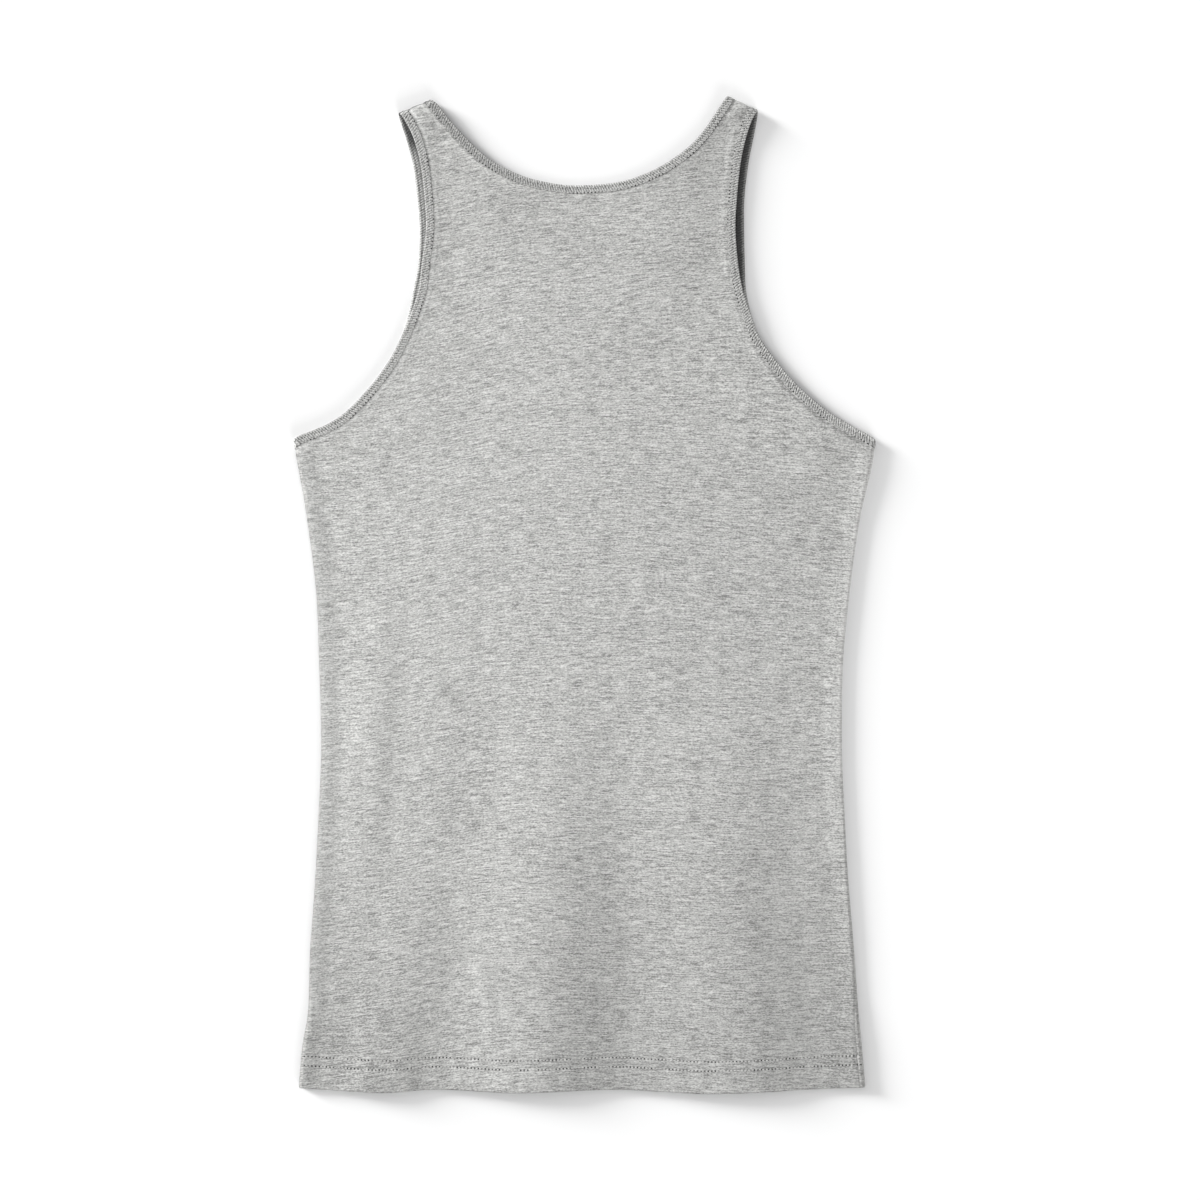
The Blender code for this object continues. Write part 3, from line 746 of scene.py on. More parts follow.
def binding(index):
    """One binding as rings of its section, down the back's edge and back up the front's.

    Also gives, for the material, each ring's distance all round, how dark each point is, mostly painted
    shade and shadow, and how deep it lies in the hollow between two ribs.
    """
    section, depth = whole_section(), sizes().rib_depth / MM
    rings, distance, shades, start = [], [], [], 0.0
    for side in (BACK, FRONT):
        line, *ends = ways_in(side)[index]
        length = length_of(line)
        ribs = round(length * MM / sizes().rib)
        at = np.linspace(0, length, ribs * RIB_SAMPLES + 1)
        edge, way = stations(line, *ends, at)
        inward, over = (np.tile(column, len(at)) for column in section.T)
        phase = (np.repeat(at, len(section)) - RIB_SLANT * inward) / length * ribs * 2 * math.pi
        way = np.repeat(way, len(section), axis=0)
        p = np.repeat(edge, len(section), axis=0) + way * inward[:, None]
        ribbed = rib_height(phase, inward, over)
        raised = depth * ribbed
        height = over + raised * np.where(inward < ROUND_FOLD, over, np.sign(over))
        ring = binding_middle(side, p) + facing(binding_middle, side, p) * height[:, None]
        at_tip = inward < section[1, 0] / 2
        ring[:, :2] -= way * (raised * at_tip)[:, None]
        ring = ring.reshape(len(at), len(section), 3)
        # painted shadow beside a strap, on the inner face and stronger further in from the fold
        deeper = fade(section[:, 1], -0.3, 0.3) * (1 - 0.45 * fade(section[:, 0], 0.3, 3.2))
        shade = strap_painted_shadow(index, side, edge[:, 1])[:, None] * deeper
        # painted shade on the back's part of the binding
        if side == BACK:
            shade += back_dark_and_painted_shade(index, edge[:, 0], section[:, 0])
        *reach, darkness = SHOULDER_SHADE
        shade += darkness * fade(SHOULDER_FOLDS[0][0](p), *reach).reshape(shade.shape)
        shade = np.dstack((shade, -ribbed.reshape(shade.shape)))
        if side == FRONT:
            ring, at, shade = ring[::-1][1:-1], at[1:-1], shade[::-1][1:-1]
        rings.append(ring)
        distance.append(start + at)
        shades.append(shade)
        start += length
    return np.concatenate(rings), np.concatenate((*distance, [start])), np.concatenate(shades)


# Panels


def from_fold(line, inside, distance):
    """The line from where it comes this far inside a fold."""
    depth = inside(line)
    k = int(np.argmax(depth >= distance))
    if k == 0:
        return line
    share = (distance - depth[k - 1]) / (depth[k] - depth[k - 1])
    crossing = line[k - 1] + share * (line[k] - line[k - 1])
    return np.vstack((crossing, line[k:]))


def side_seam(side, right, top):
    """The panel's own edge at a side seam, from the hem up into its binding."""
    h = SIDE_HEIGHTS[SIDE_HEIGHTS < top - SEAM_TOP]
    way_in = SEAM_CLOSE / 2 + side * seam_shift(h, right)
    return np.column_stack((side_edge(h, right) + (-way_in if right else way_in), h))


def panel_outline(side, spacing):
    """The panel's own edge, tucked into its bindings and up to its seams."""
    folds = [inside for inside, _, _ in (SIDE_FOLDS[0], *SHOULDER_FOLDS, SIDE_FOLDS[1])]
    bound = []
    for (line, *ways), first, last in zip(ways_in(side), folds, folds[1:]):
        length = length_of(line)
        at = np.linspace(0, length, round(length / EDGE_POINTS) + 1)
        edge, way = stations(line, *ways, at)
        inner = from_fold(edge + way * TUCK, first, SEAM_CLOSE / 2)
        bound.append(from_fold(inner[::-1], last, SEAM_CLOSE / 2)[::-1])
    shoulders = [
        evenly(np.vstack((a[-1], b[0])), spacing)[1:-1] for a, b in zip(bound, bound[1:])
    ]
    left_seam = side_seam(side, False, bound[0][0][1])
    right_seam = side_seam(side, True, bound[2][-1][1])[::-1]
    hem = evenly(np.vstack((right_seam[-1], left_seam[0])), spacing)[1:-1]
    hem[:, 1] = hem_height(hem[:, 0])
    parts = (left_seam, bound[0], shoulders[0], bound[1], shoulders[1], bound[2])
    return np.vstack(parts + (right_seam, hem))


def fold_rows(side, spacing):
    """Lines beside the folds, at the hem and at its stitches, which the mesh keeps."""
    h = np.concatenate(([-4.0], SIDE_HEIGHTS))
    beside = [(h, right, into * depth) for right, into in enumerate((1, -1)) for depth in SIDE_ROWS]
    if side == FRONT:
        low = h[h < RIGHT_SEAM[-2][0]]
        beside += [(low, True, depth) for depth in (*SIDE_ROWS, 0)]
    rows = [np.column_stack((side_edge(h, right) + way_in, h)) for h, right, way_in in beside]
    for (out, inner), (_, way, _) in zip(SHOULDERS, SHOULDER_FOLDS):
        for depth in SHOULDER_ROWS:
            start, end = out + way * depth, inner + way * depth
            rows.append(start + np.linspace(0.05, 0.95, 10)[:, None] * (end - start))
    x = np.arange(HEM[0][0], HEM[-1][0] + 1, spacing)
    stitched = [
        row + off for row in hem_rows() for off in (-BESIDE_STITCHES, 0, BESIDE_STITCHES)
    ]
    for over in (*HEM_ROWS, *stitched, HEM_WIDTH, HEM_WIDTH + HEM_STEP):
        rows.append(np.column_stack((x, hem_height(x) + over)))
    return rows


def fill(outline, rows, spacing):
    """A flat mesh of even triangles inside the outline that keeps the rows."""
    loop = np.vstack((outline, outline[:1]))
    low, high = outline.min(axis=0), outline.max(axis=0)
    step = spacing * math.sqrt(3) / 2
    grid = []
    for i, h in enumerate(np.arange(low[1] + step, high[1], step)):
        x = np.arange(low[0] + spacing * (0.25 + 0.5 * (i % 2)), high[0], spacing)
        grid.append(np.column_stack((x, np.full(len(x), h))))
    grid = np.vstack(grid)
    lines = np.vstack([evenly(line, spacing * 0.3) for line in (loop, *rows)])
    tree = KDTree(len(lines))
    for i, (x, h) in enumerate(lines):
        tree.insert((x, h, 0), i)
    tree.balance()
    apart = np.array([tree.find((x, h, 0))[2] for x, h in grid])
    grid = grid[apart > spacing * 0.45]
    points, edges = [*outline], []
    for row in rows:
        first = len(points)
        points.extend(row)
        edges.extend((k, k + 1) for k in range(first, len(points) - 1))
    points.extend(grid)
    ring = list(range(len(outline)))
    flat, _, faces, *_ = delaunay_2d_cdt([tuple(p) for p in points], edges, [ring], 1, 0.02)
    flat = np.array(flat)
    keep = within(np.array([flat[face].mean(axis=0) for face in faces]), outline)
    faces = [face for face, kept in zip(faces, keep) if kept]
    used = sorted({v for face in faces for v in face})
    number = {v: i for i, v in enumerate(used)}
    return flat[used], [[number[v] for v in face] for face in faces]


def from_seam(side, p):
    """How far each point is from the seam beside it: above 0 on the back, below 0 on the front."""
    x, h = p.T
    gaps = [x - side_edge(h, right) + side * seam_shift(h, right) for right in (False, True)]
    gaps += [inside(p) for inside, _, _ in SHOULDER_FOLDS]
    return np.abs(gaps).min(axis=0) * side


def outer_relief(side, p):
    """What seams and stitching press into the outer face."""
    way = from_seam(side, p)
    wide = RELIEF_REACH if side == BACK else FRONT_SEAM_REACH
    ridge = SEAM_RIDGE * bell(way, SEAM_RIDGE_AT, RELIEF_REACH)
    seam = ridge - SEAM_GROOVE * bell(way, 0, wide)
    return seam - ROW_GROOVE * sum(bell(over_hem(p), row, RELIEF_REACH) for row in hem_rows())


def panel(side):
    """The panel as a shell: its outline, its pattern points, its two skins' points, its faces."""
    spacing = sizes().spacing / MM
    outline = panel_outline(side, spacing)
    p, faces = fill(outline, fold_rows(side, spacing), spacing)
    middle, out = panel_middle(side, p), facing(panel_middle, side, p)
    turned_up = HEM_TURN * fade(over_hem(p), HEM_WIDTH, HEM_WIDTH + HEM_STEP)
    half = PANEL_THICK / 2
    outer = half + outer_relief(side, p)
    inner = PANEL_WALL - half + turned_up
    reach = (half + inner) / 2  # the hem's edge is rounded over this far
    into = np.clip(over_hem(p) / reach, 0.004, 1)
    rounded = np.sqrt(1 - (1 - into) ** 2)
    centre = (outer - inner) / 2
    outer = centre + (outer - centre) * rounded
    inner = -centre + (inner + centre) * rounded
    points = np.vstack((middle + out * outer[:, None], middle - out * inner[:, None]))
    count = len(p)
    sides = {(a, b) for face in faces for a, b in zip(face, face[1:] + face[:1])}
    rim = sorted((a, b) for a, b in sides if (b, a) not in sides)
    skins = faces + [[v + count for v in face[::-1]] for face in faces]
    joined = [(b, a, a + count, b + count) for a, b in rim]
    return outline, np.vstack((p, p)), points, skins + joined


def courses(p):
    """The pattern's points as the knit runs: its courses rise and fall on their way across."""
    x, *rises = np.array(COURSE_RISES).T
    across = np.arange(x[0], x[-1] + 1)
    lifts = (np.cumsum(np.interp(across, x, rise)) for rise in rises)
    middle = len(across) // 2
    low, high = (np.interp(p[:, 0], across, lift - lift[middle]) for lift in lifts)
    lift = low + (high - low) * (1 - fade(p[:, 1], *RISES_TURN))
    swing = 2.2 * np.sin(p[:, 0] / 61 + 0.7) * np.sin(p[:, 1] / 97 + 0.4)
    return np.column_stack((p[:, 0], p[:, 1] - lift + swing))


# Objects


def make(name, points, faces, layers, material):
    """One closed piece with the garment's middle over the origin, and its UV maps in metres."""
    mesh = bpy.data.meshes.new(name)
    mesh.from_pydata(((points - (0, MIDDLE, 0)) * MM).tolist(), [], faces)
    corner = np.empty(len(mesh.loops), int)
    mesh.loops.foreach_get("vertex_index", corner)
    for layer, values in layers.items():
        values = values if len(values) == len(corner) else values[corner]
        mesh.uv_layers.new(name=layer).data.foreach_set("uv", (values * MM).ravel())
    work = bmesh.new()
    work.from_mesh(mesh)
    bmesh.ops.recalc_face_normals(work, faces=work.faces)
    work.to_mesh(mesh)
    work.free()
    mesh.shade_smooth()
    mesh.set_sharp_from_angle(angle=math.radians(60))
    mesh.materials.append(material)
    made = bpy.data.objects.new(name, mesh)
    bpy.context.scene.collection.objects.link(made)
    return made


def dress(piece, node):
    """The piece is attached to the root, and the solid of the frame that it stands for is hidden."""
    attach(piece, "root")
    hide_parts(node)


def area_of(outline):
    """Area of a flat outline, in square metres."""
    x, h = outline.T
    return abs(float(x @ np.roll(h, -1) - h @ np.roll(x, -1))) / 2 * MM * MM


def make_panel(name, side, node):
    outline, p, points, faces = panel(side)
    layers = {
        "courses": courses(p),
        "hem": np.column_stack((p[:, 0], over_hem(p))),
        "seam": np.column_stack((from_seam(side, p), FROM_EDGES[side](p))),
    }
    piece = make(name, points, faces, layers, jersey())
    dress(piece, node)
    area_of(outline)


def make_binding(name, index, node):
    rings, distance, shades = binding(index)
    count, around = rings.shape[:2]
    way_in, over = whole_section().T
    across = way_in - FOLD_ROUND * (1 - np.abs(over))
    corners = np.array(((0, 0, 1, 1), (0, 1, 1, 0)))[:, None]
    ring, point = np.mgrid[:count, :around].reshape(2, -1, 1) + corners
    faces = ring % count * around + point % around
    strip = np.dstack((distance[ring], across[point % around])).reshape(-1, 2)
    shade = shades[ring % count, point % around].reshape(-1, 2)
    layers = {"strip": strip, "shade": shade / MM}
    piece = make(name, rings.reshape(-1, 3), faces.tolist(), layers, rib_knit())
    dress(piece, node)


# Stitches


def thread_bead():
    """One stitch of the thread as points and faces, 2 long and 2 thick, made as by hand."""
    bpy.ops.object.select_all(action="DESELECT")
    bpy.ops.mesh.primitive_uv_sphere_add(segments=6, ring_count=6, radius=1)
    bead = bpy.context.object
    bpy.ops.object.mode_set(mode="EDIT")
    bpy.ops.mesh.select_all(action="DESELECT")
    bpy.ops.object.mode_set(mode="OBJECT")
    for vertex in bead.data.vertices:
        vertex.select = 0.2 < abs(vertex.co.z) < 0.7
    bpy.ops.object.mode_set(mode="EDIT")
    bpy.ops.transform.resize(value=(1.12, 1.12, 1.35))
    bpy.ops.object.mode_set(mode="OBJECT")
    points = np.array([vertex.co for vertex in bead.data.vertices])[:, (2, 0, 1)]
    faces = [tuple(face.vertices) for face in bead.data.polygons]
    mesh = bead.data
    bpy.data.objects.remove(bead)
    bpy.data.meshes.remove(mesh)
    return points, faces


def sew(name, runs):
    """A piece of joined stitches. Each run gives stitches' middles, ways along and ways out."""
    bead, faces = thread_bead()
    bent = bead - np.outer(bead[:, 0] ** 2, (0, 0, STITCH_BEND))
    pitch, thick = stitch_size()
    long, thick = pitch * STITCH_HALF, thick / 2
    points, all_faces, uv, count = [], [], [], 0
    for middle, forward, out in runs:
        across = np.cross(out, forward)
        for m, f, a, o in zip(middle, forward, across, out):
            points.append(m + bent @ np.array((f * long, a * thick, o * thick)))
            all_faces += [tuple(v + count for v in face) for face in faces]
            count += len(bead)
            uv.append(bead[:, :2] * (long, thick) + len(uv) * TWIST_STEP)
    piece = make(name, np.vstack(points), all_faces, {"thread": np.vstack(uv)}, thread())
    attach(piece, "root")


def stitches_between(ends, out):
    """Middles, ways along and ways out of the stitches between neighbouring points."""
    middle = (ends[1:] + ends[:-1]) / 2
    forward = unit(ends[1:] - ends[:-1])
    out = unit(out[1:] + out[:-1])
    out = unit(out - forward * np.sum(out * forward, axis=1)[:, None])
    return middle, forward, out


def hem_run(side, row):
    """The stitches of one row across the hem of a panel."""
    h = hem_height(0) + row
    ends = side_edge(h, False), side_edge(h, True) - np.interp(h, *SEAM_LINE.T) * side
    left, right = ends[0] + BESIDE_SEAM, ends[1] - BESIDE_SEAM
    pitch, thick = stitch_size()
    x = np.arange(math.ceil(left / pitch), right / pitch) * pitch
    p = np.column_stack((x, hem_height(x) + row))
    out = facing(panel_middle, side, p)
    over = PANEL_THICK / 2 + outer_relief(side, p) + thick * HEM_PROUD[side]
    return stitches_between(panel_middle(side, p) + out * over[:, None], out)


def binding_runs(index):
    """The two rows of stitches on the outer face of one binding, all the way round."""
    section = np.array(BINDING_SECTION[:OUTER_POINTS])
    pitch, thick = stitch_size()
    lines = {side: ways_in(side)[index] for side in (BACK, FRONT)}
    back, front = (length_of(line) for line, *_ in lines.values())
    places = {
        BACK: np.arange(0, back, pitch),
        FRONT: back + front - np.arange(math.ceil(back / pitch), (back + front) / pitch) * pitch,
    }
    runs = []
    for inward in (ROW_OUT, ROW_IN):
        for side, (line, *ends) in lines.items():
            over = np.interp(inward, *section.T) + thick * BINDING_PROUD[side]
            edge, way = stations(line, *ends, places[side])
            p = edge + way * inward
            out = facing(binding_middle, side, p)
            runs.append(stitches_between(binding_middle(side, p) + out * over, out))
    return runs


# Materials


class Value:
    """A number, vector or colour that a shader node puts out. Sums with it become Math nodes."""

    def __init__(self, tree, socket):
        self.tree, self.socket = tree, socket

    def maths(self, operation, other=0.0, clamp=False):
        inputs = {0: self, 1: other}
        return put_out(self.tree, "Math", inputs, operation=operation, use_clamp=clamp)

    __add__ = partialmethod(maths, "ADD")
    __sub__ = partialmethod(maths, "SUBTRACT")
    __mul__ = partialmethod(maths, "MULTIPLY")
    __truediv__ = partialmethod(maths, "DIVIDE")
    absolute = partialmethod(maths, "ABSOLUTE")
    clamped = partialmethod(maths, "ADD", clamp=True)
    fraction = partialmethod(maths, "FRACT")
    sine = partialmethod(maths, "SINE")

    def parts(self):
        """The X, Y and Z of a vector."""
        return [Value(self.tree, part) for part in node(self.tree, "SeparateXYZ", {0: self}).outputs]


def plug(socket, value):
    """An input of a node, linked or set."""
    if isinstance(value, Value):
        value.tree.links.new(value.socket, socket)
    else:
        socket.default_value = value


def node(tree, kind, inputs, **settings):
    """A shader node with its settings and inputs."""
    made = tree.nodes.new("ShaderNode" + kind)
    for key, value in settings.items():
        setattr(made, key, value)
    for key, value in inputs.items():
        plug(made.inputs[key], value)
    return made


def put_out(tree, kind, inputs, output=0, **settings):
    """What a new node puts out."""
    return Value(tree, node(tree, kind, inputs, **settings).outputs[output])


def uv_map(tree, name):
    return put_out(tree, "UVMap", {}, uv_map=name)


def ranged(value, start, end, most=1.0):
    """From 0 where a length is at its start to the most at its end, both in millimetres."""
    inputs = {"Value": value, "From Min": start * MM, "From Max": end * MM, "To Max": most}
    return put_out(value.tree, "MapRange", inputs, interpolation_type="SMOOTHSTEP")


def scaled(vector, across, up, offset=0.0):
    """The vector with its X over one length and its Y over another."""
    x, y, _ = vector.parts()
    return put_out(vector.tree, "CombineXYZ", {0: x / across, 1: y / up, 2: offset})


def noise(vector, scale=1.0, detail=1.0):
    """Noise about 0."""
    inputs = {"Vector": vector, "Scale": scale, "Detail": detail}
    return put_out(vector.tree, "TexNoise", inputs, "Fac") - 0.5


def mixed(factor, a, b):
    """A colour from a to b."""
    return put_out(factor.tree, "Mix", {0: factor, 6: a, 7: b}, 2, data_type="RGBA")


def grey(light):
    return (light, light, light, 1.0)


def rgba(colour):
    return (*colour, 1.0)


def made_once(name, collection):
    """The function's material or group: made the first time it's asked for, and then the same."""

    def wrapped(build):
        return lambda: getattr(bpy.data, collection).get(name) or build(name)

    return wrapped


def node_group(name, numbers, output):
    """An empty shader group: what it's given, a vector and these numbers, and its one output."""
    tree = bpy.data.node_groups.new(name, "ShaderNodeTree")
    tree.interface.new_socket("Vector", in_out="INPUT", socket_type="NodeSocketVector")
    for number in numbers:
        tree.interface.new_socket(number, in_out="INPUT", socket_type="NodeSocketFloat")
    tree.interface.new_socket(output, in_out="OUTPUT", socket_type="NodeSocketFloat")
    given = tree.nodes.new("NodeGroupInput").outputs
    given = [Value(tree, given[socket]) for socket in ("Vector", *numbers)]
    return given, tree.nodes.new("NodeGroupOutput").inputs[output]


def grouped(group, *inputs):
    """What a group puts out for these inputs."""
    return put_out(inputs[0].tree, "Group", dict(enumerate(inputs)), node_tree=group)


@made_once("heather", "node_groups")
def heather_group(name):
    """Flecks of dark and light fibre, drawn out along the courses. Shade runs from 0 to 1."""
    given, shade = node_group(name, ("Streak", "Course", "Contrast"), "Shade")
    vector, streak, course, contrast = given
    total = 0.5
    for long, high, weight, offset in HEATHER:
        flecks = noise(scaled(vector, streak * long, course * high, offset))
        total = flecks * weight * contrast + total
    plug(shade, total.clamped())
    return vector.tree


@made_once("knitted loops", "node_groups")
def loops_group(name):
    """Rows of knitted loops, each a V of yarn. Height runs from 0 to 1."""
    (vector, wale, course), height = node_group(name, ("Wale", "Course"), "Height")
    uneven = noise(vector, 160.0)
    x, y, _ = scaled(vector, wale, course).parts()
    column = (x + uneven).fraction()
    leg = (column - 0.5).absolute()
    row = (y + (uneven * 1.4 + leg)).fraction()
    yarn = (row * math.pi).sine()
    plug(height, yarn * (column * math.pi).sine().maths("POWER", 0.5))
    return vector.tree


@made_once("stitch holes", "node_groups")
def stitch_holes_group(name):
    """Uneven dots of painted shade down a row of stitches, in the needles' holes. Mask is 1 in the
    darkest hole.
    """
    (vector, row, stitch, size), mask = node_group(name, ("Row", "Stitch", "Size"), "Mask")
    x, y, _ = vector.parts()
    number = x / stitch + 0.5
    beside = (number.fraction() - 0.5) * stitch
    at = put_out(vector.tree, "CombineXYZ", {0: beside, 1: y - row})
    far = put_out(vector.tree, "VectorMath", {0: at}, "Value", operation="LENGTH") / size
    inputs = {"W": number.maths("FLOOR")}
    one = put_out(vector.tree, "TexWhiteNoise", inputs, "Value", noise_dimensions="1D")
    run = noise(scaled(vector, 9 * MM, 2 * MM), detail=0.0)
    strong = (one * 0.6 + (run * 3.0 + 0.35)).clamped()
    plug(mask, (far * far * -1.0 + 1.0).clamped() * strong)
    return vector.tree


def new_material(name, roughness, sheen):
    made = bpy.data.materials.new(name)
    made.use_nodes = True
    shader = made.node_tree.nodes["Principled BSDF"]
    shader.inputs["Roughness"].default_value = roughness
    shader.inputs["Specular IOR Level"].default_value = 0.25
    shader.inputs["Sheen Weight"].default_value = sheen
    shader.inputs["Sheen Roughness"].default_value = 0.5
    return made, made.node_tree, shader


def finish(shader, base, height, hollow, ridge, depth):
    """The colour, and the roughness and bump that follow the yarn from its hollows to its ridges."""
    inputs = {"Height": height, "Strength": 0.5, "Distance": depth * MM}
    plug(shader.inputs["Base Color"], base)
    plug(shader.inputs["Roughness"], height * (ridge - hollow) + hollow)
    plug(shader.inputs["Normal"], put_out(height.tree, "Bump", inputs))


@made_once("heather jersey", "materials")
def jersey(name):
    """Heathered jersey with the stitch holes of the hem, and painted light and shade on it."""
    made, tree, shader = new_material(name, 0.92, 0.12)
    size, colour = sizes(), colours()
    knit, hem, edges = (uv_map(tree, layer) for layer in ("courses", "hem", "seam"))
    shade = grouped(heather_group(), knit, size.streak, size.course, 1.0)
    loops = grouped(loops_group(), knit, size.wale, size.course)
    x, h, _ = hem.parts()
    from_edge = edges.parts()
    # painted light and shade beside the side seams and the bound edges
    for beside, *spans, way_in, painted_light in PAINTED_LIGHT_AND_SHADE:
        off = (from_edge[beside] - way_in * MM).absolute()
        for value, start, full in zip((x, h, off), spans[::2], spans[1::2]):
            painted_light = ranged(value, start, full) * painted_light
        shade = (shade + painted_light).clamped()
    base = mixed(shade, rgba(colour.jersey_dark), rgba(colour.jersey_light))
    # painted shade between the knitted loops
    base = mixed((loops * -1.0 + 1.0) * PAINTED_SHADE_BETWEEN_LOOPS, base, rgba(colour.jersey_dark))
    # painted shade where the light falls off
    for upward, start, full, most in PAINTED_FALLOFF_SHADE:
        base = mixed(ranged(h if upward else x, start, full, most), base, grey(0.0))
    # painted shade in the needles' holes of the hem's rows
    for row in hem_rows():
        hole = grouped(stitch_holes_group(), hem, row * MM, size.stitch, HEM_HOLE * MM)
        base = mixed((hole * HOLES_DARK).clamped(), base, PAINTED_SHADE_COLOUR)
    # painted shade on the hem's lower edge
    base = mixed(ranged(h, *HEM_EDGE_PAINTED_SHADE), base, PAINTED_SHADE_COLOUR)
    # painted shadow beside the seam and painted highlight on its ridge
    for way_in, reach, most, light in SEAM_PAINTED_SHADOW_AND_HIGHLIGHT:
        off = (from_edge[0] - way_in * MM).absolute()
        base = mixed(ranged(off, reach, 0.0, most), base, grey(light))
    on_left = ranged(x, *ON_LEFT)
    base = mixed(ranged(from_edge[0].absolute(), *LEFT_FOLD_DARK) * on_left, base, PAINTED_SHADE_COLOUR)
    run_x, run_h = unit(np.subtract(SHOULDER_LEFT_IN, SHOULDER_LEFT_OUT)).tolist()
    level = (SHOULDER_LEFT_OUT[1] * run_x - SHOULDER_LEFT_OUT[0] * run_h) * MM
    off = (x * -run_h + (h * run_x - level)).absolute()
    base = mixed(ranged(off, *LEFT_SHOULDER_DARK) * on_left, base, PAINTED_SHADE_COLOUR)
    finish(shader, base, loops, 0.98, 0.86, LOOP_DEPTH)
    return made


@made_once("rib knit", "materials")
def rib_knit(name):
    """Ribbed binding: light and grey runs down the strip with painted shade in them, painted shade in
    the hollows and needle holes, and the painted shadow beside the straps.
    """
    made, tree, shader = new_material(name, 0.92, 0.1)
    size, colour = sizes(), colours()
    strip = uv_map(tree, "strip")
    heather = grouped(heather_group(), strip, 2.0 * MM, size.course * 1.4, 0.8)
    loops = grouped(loops_group(), strip, size.wale, size.course)
    # the strip's grey runs, with painted shade on the fold and beside the rows of stitches
    low, high = BINDING_TONES_AND_PAINTED_SHADE[0][0] * MM, BINDING_TONES_AND_PAINTED_SHADE[-1][0] * MM
    ramp = node(tree, "ValToRGB", {0: (strip.parts()[1] - low) / (high - low)})
    stops = ramp.color_ramp.elements
    for i, (way_in, light) in enumerate(BINDING_TONES_AND_PAINTED_SHADE):
        at = (way_in * MM - low) / (high - low)
        stop = stops[i] if i < 2 else stops.new(at)  # a new ramp has two stops
        stop.position, stop.color = at, grey(light)
    # the first part is the painted shade and shadow from binding(), the second the depth of the hollow
    # between ribs
    inside, hollow, _ = uv_map(tree, "shade").parts()
    light = Value(tree, ramp.outputs[0]) + (heather - 0.5) * 0.8
    # painted shade in the hollows between the ribs
    light = (hollow * -0.6 + light).clamped()
    base = mixed(light, rgba(colour.rib_dark), rgba(colour.rib_light))
    # painted shade in the needles' holes of the binding's rows
    for row, dark in ((ROW_OUT, OUTER_HOLES_DARK), (ROW_IN, HOLES_DARK)):
        hole = grouped(stitch_holes_group(), strip, row * MM, size.stitch, BINDING_HOLE * MM)
        base = mixed((hole * dark).clamped(), base, PAINTED_SHADE_COLOUR)
    # painted shadow beside the straps and painted shade on the folds
    finish(shader, mixed(inside, base, PAINTED_SHADE_COLOUR), loops, 0.98, 0.86, LOOP_DEPTH)
    return made


@made_once("sewing thread", "materials")
def thread(name):
    """Twisted sewing thread."""
    made, tree, shader = new_material(name, 0.7, 0.1)
    x, y, _ = uv_map(tree, "thread").parts()
    twist = ((y * 1.2 + x) * (2 * math.pi / (TWIST * MM))).sine()
    share = twist * 0.5 + 0.5
    # painted shade in the grooves of the twist, where the bump is low
    dark = rgba(0.6 * part for part in colours().thread)
    finish(shader, mixed(share, dark, rgba(colours().thread)), share, 0.8, 0.65, TWIST_DEPTH)
    return made


# Operators


class TANK_TOP_OT_front_cloth(bpy.types.Operator):
    """The front panel, which lies on the surface"""

    bl_idname = "tank_top.front_cloth"
    bl_label = "Front panel"

    def execute(self, context):
        make_panel("front_cloth", FRONT, "front_panel")
        return {"FINISHED"}


class TANK_TOP_OT_back_cloth(bpy.types.Operator):
    """The back panel, which lies on the front"""

    bl_idname = "tank_top.back_cloth"
    bl_label = "Back panel"

    def execute(self, context):
        make_panel("back_cloth", BACK, "back_panel")
        return {"FINISHED"}


class TANK_TOP_OT_neck_band(bpy.types.Operator):
    """The folded strip that binds the neck"""

    bl_idname = "tank_top.neck_band"
    bl_label = "Neck binding"

    def execute(self, context):
        make_binding("neck_band", 1, "neck_binding")
        return {"FINISHED"}


class TANK_TOP_OT_armhole_bands(bpy.types.Operator):
    """The folded strips that bind the two armholes"""

    bl_idname = "tank_top.armhole_bands"
    bl_label = "Armhole bindings"

    def execute(self, context):
        make_binding("armhole_band_left", 0, "armhole_binding_left")
        make_binding("armhole_band_right", 2, "armhole_binding_right")
        return {"FINISHED"}


class TANK_TOP_OT_stitching(bpy.types.Operator):
    """The rows of stitches on the hem and on the three bindings"""

    bl_idname = "tank_top.stitching"
    bl_label = "Stitching"

    def execute(self, context):
        sew("hem_stitches", [hem_run(side, row) for side in (BACK, FRONT) for row in hem_rows()])
        for index, name in enumerate(("armhole_left", "neck", "armhole_right")):
            sew(f"{name}_stitches", binding_runs(index))
        return {"FINISHED"}


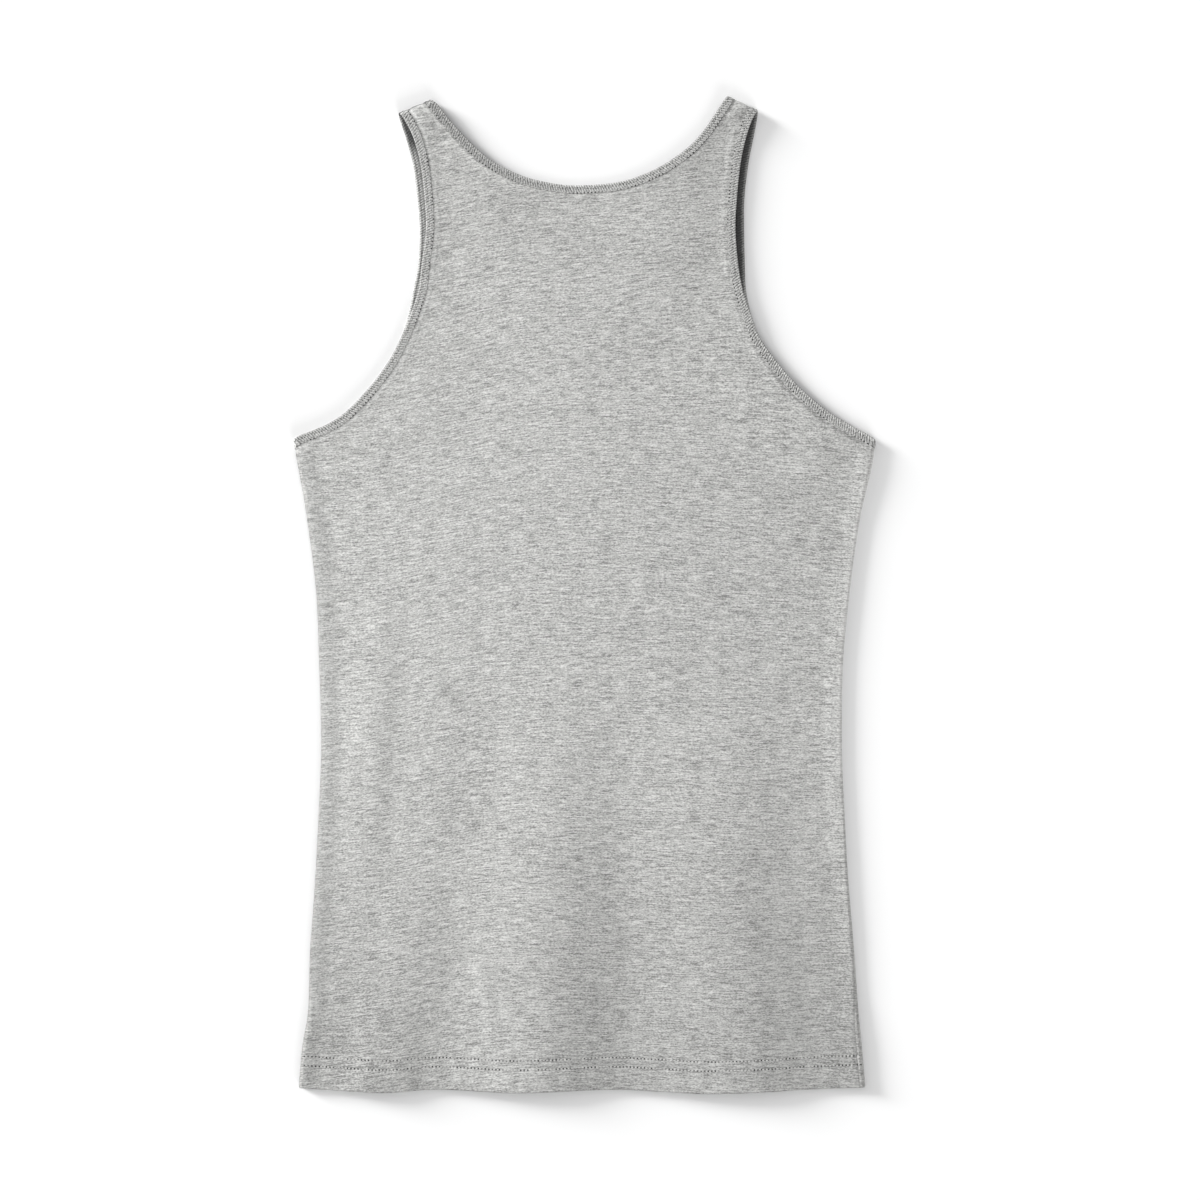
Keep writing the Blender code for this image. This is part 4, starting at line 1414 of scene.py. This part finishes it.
class TANK_TOP_OT_stage(bpy.types.Operator):
    """The floor, the lights and the camera straight overhead"""

    bl_idname = "tank_top.stage"
    bl_label = "Stage"

    def execute(self, context):
        scene = context.scene
        bpy.ops.object.select_all(action="DESELECT")
        bpy.ops.mesh.primitive_plane_add(size=FLOOR_SIZE)
        floor = context.object
        floor.name = "floor"
        paper, _, shader = new_material("floor", 0.9, 0.0)
        shader.inputs["Base Color"].default_value = rgba(colours().floor)
        floor.data.materials.append(paper)
        floor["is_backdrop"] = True

        scene.world = bpy.data.worlds.new("studio")
        scene.world.use_nodes = True
        background = scene.world.node_tree.nodes["Background"]
        background.inputs["Color"].default_value = grey(1.0)
        background.inputs["Strength"].default_value = SKY

        for name, energy, angle, low, turn in LIGHTS:
            sun = bpy.data.lights.new(name, "SUN")
            sun.energy, sun.angle = energy, math.radians(angle)
            light = bpy.data.objects.new(name, sun)
            light.rotation_euler = (math.radians(low), 0, math.radians(turn))
            scene.collection.objects.link(light)

        lens = bpy.data.cameras.new("camera")
        lens.sensor_width = SENSOR
        lens.lens = SENSOR * CAMERA_AT[2] / SEEN
        scene.camera = bpy.data.objects.new("camera", lens)
        scene.camera.location = CAMERA_AT
        scene.collection.objects.link(scene.camera)
        scene.view_settings.view_transform = "Standard"
        return {"FINISHED"}


OPERATORS = (
    TANK_TOP_OT_front_cloth,
    TANK_TOP_OT_back_cloth,
    TANK_TOP_OT_neck_band,
    TANK_TOP_OT_armhole_bands,
    TANK_TOP_OT_stitching,
    TANK_TOP_OT_stage,
)


class VIEW3D_PT_tank_top(bpy.types.Panel):
    bl_label = "Tank Top"
    bl_space_type = "VIEW_3D"
    bl_region_type = "UI"
    bl_category = "Tank Top"

    def draw(self, context):
        for group in (context.scene.tank_top_sizes, context.scene.tank_top_colours):
            for name in group.__annotations__:
                self.layout.prop(group, name)
        for operator in OPERATORS:
            self.layout.operator(operator.bl_idname)


CLASSES = (TankTopSizes, TankTopColours, *OPERATORS, VIEW3D_PT_tank_top)


def register():
    for made in CLASSES:
        bpy.utils.register_class(made)
    bpy.types.Scene.tank_top_sizes = PointerProperty(type=TankTopSizes)
    bpy.types.Scene.tank_top_colours = PointerProperty(type=TankTopColours)


def unregister():
    del bpy.types.Scene.tank_top_colours
    del bpy.types.Scene.tank_top_sizes
    for made in reversed(CLASSES):
        bpy.utils.unregister_class(made)


def main():
    register()
    bpy.ops.tank_top.front_cloth()
    bpy.ops.tank_top.back_cloth()
    bpy.ops.tank_top.neck_band()
    bpy.ops.tank_top.armhole_bands()
    bpy.ops.tank_top.stitching()
    bpy.ops.tank_top.stage()
    boxes = {"cad": CAD_BOX, "visual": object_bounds()}
    boxes = {name: [list(map(float, corner)) for corner in box] for name, box in boxes.items()}


if __name__ == "__main__":
    main()
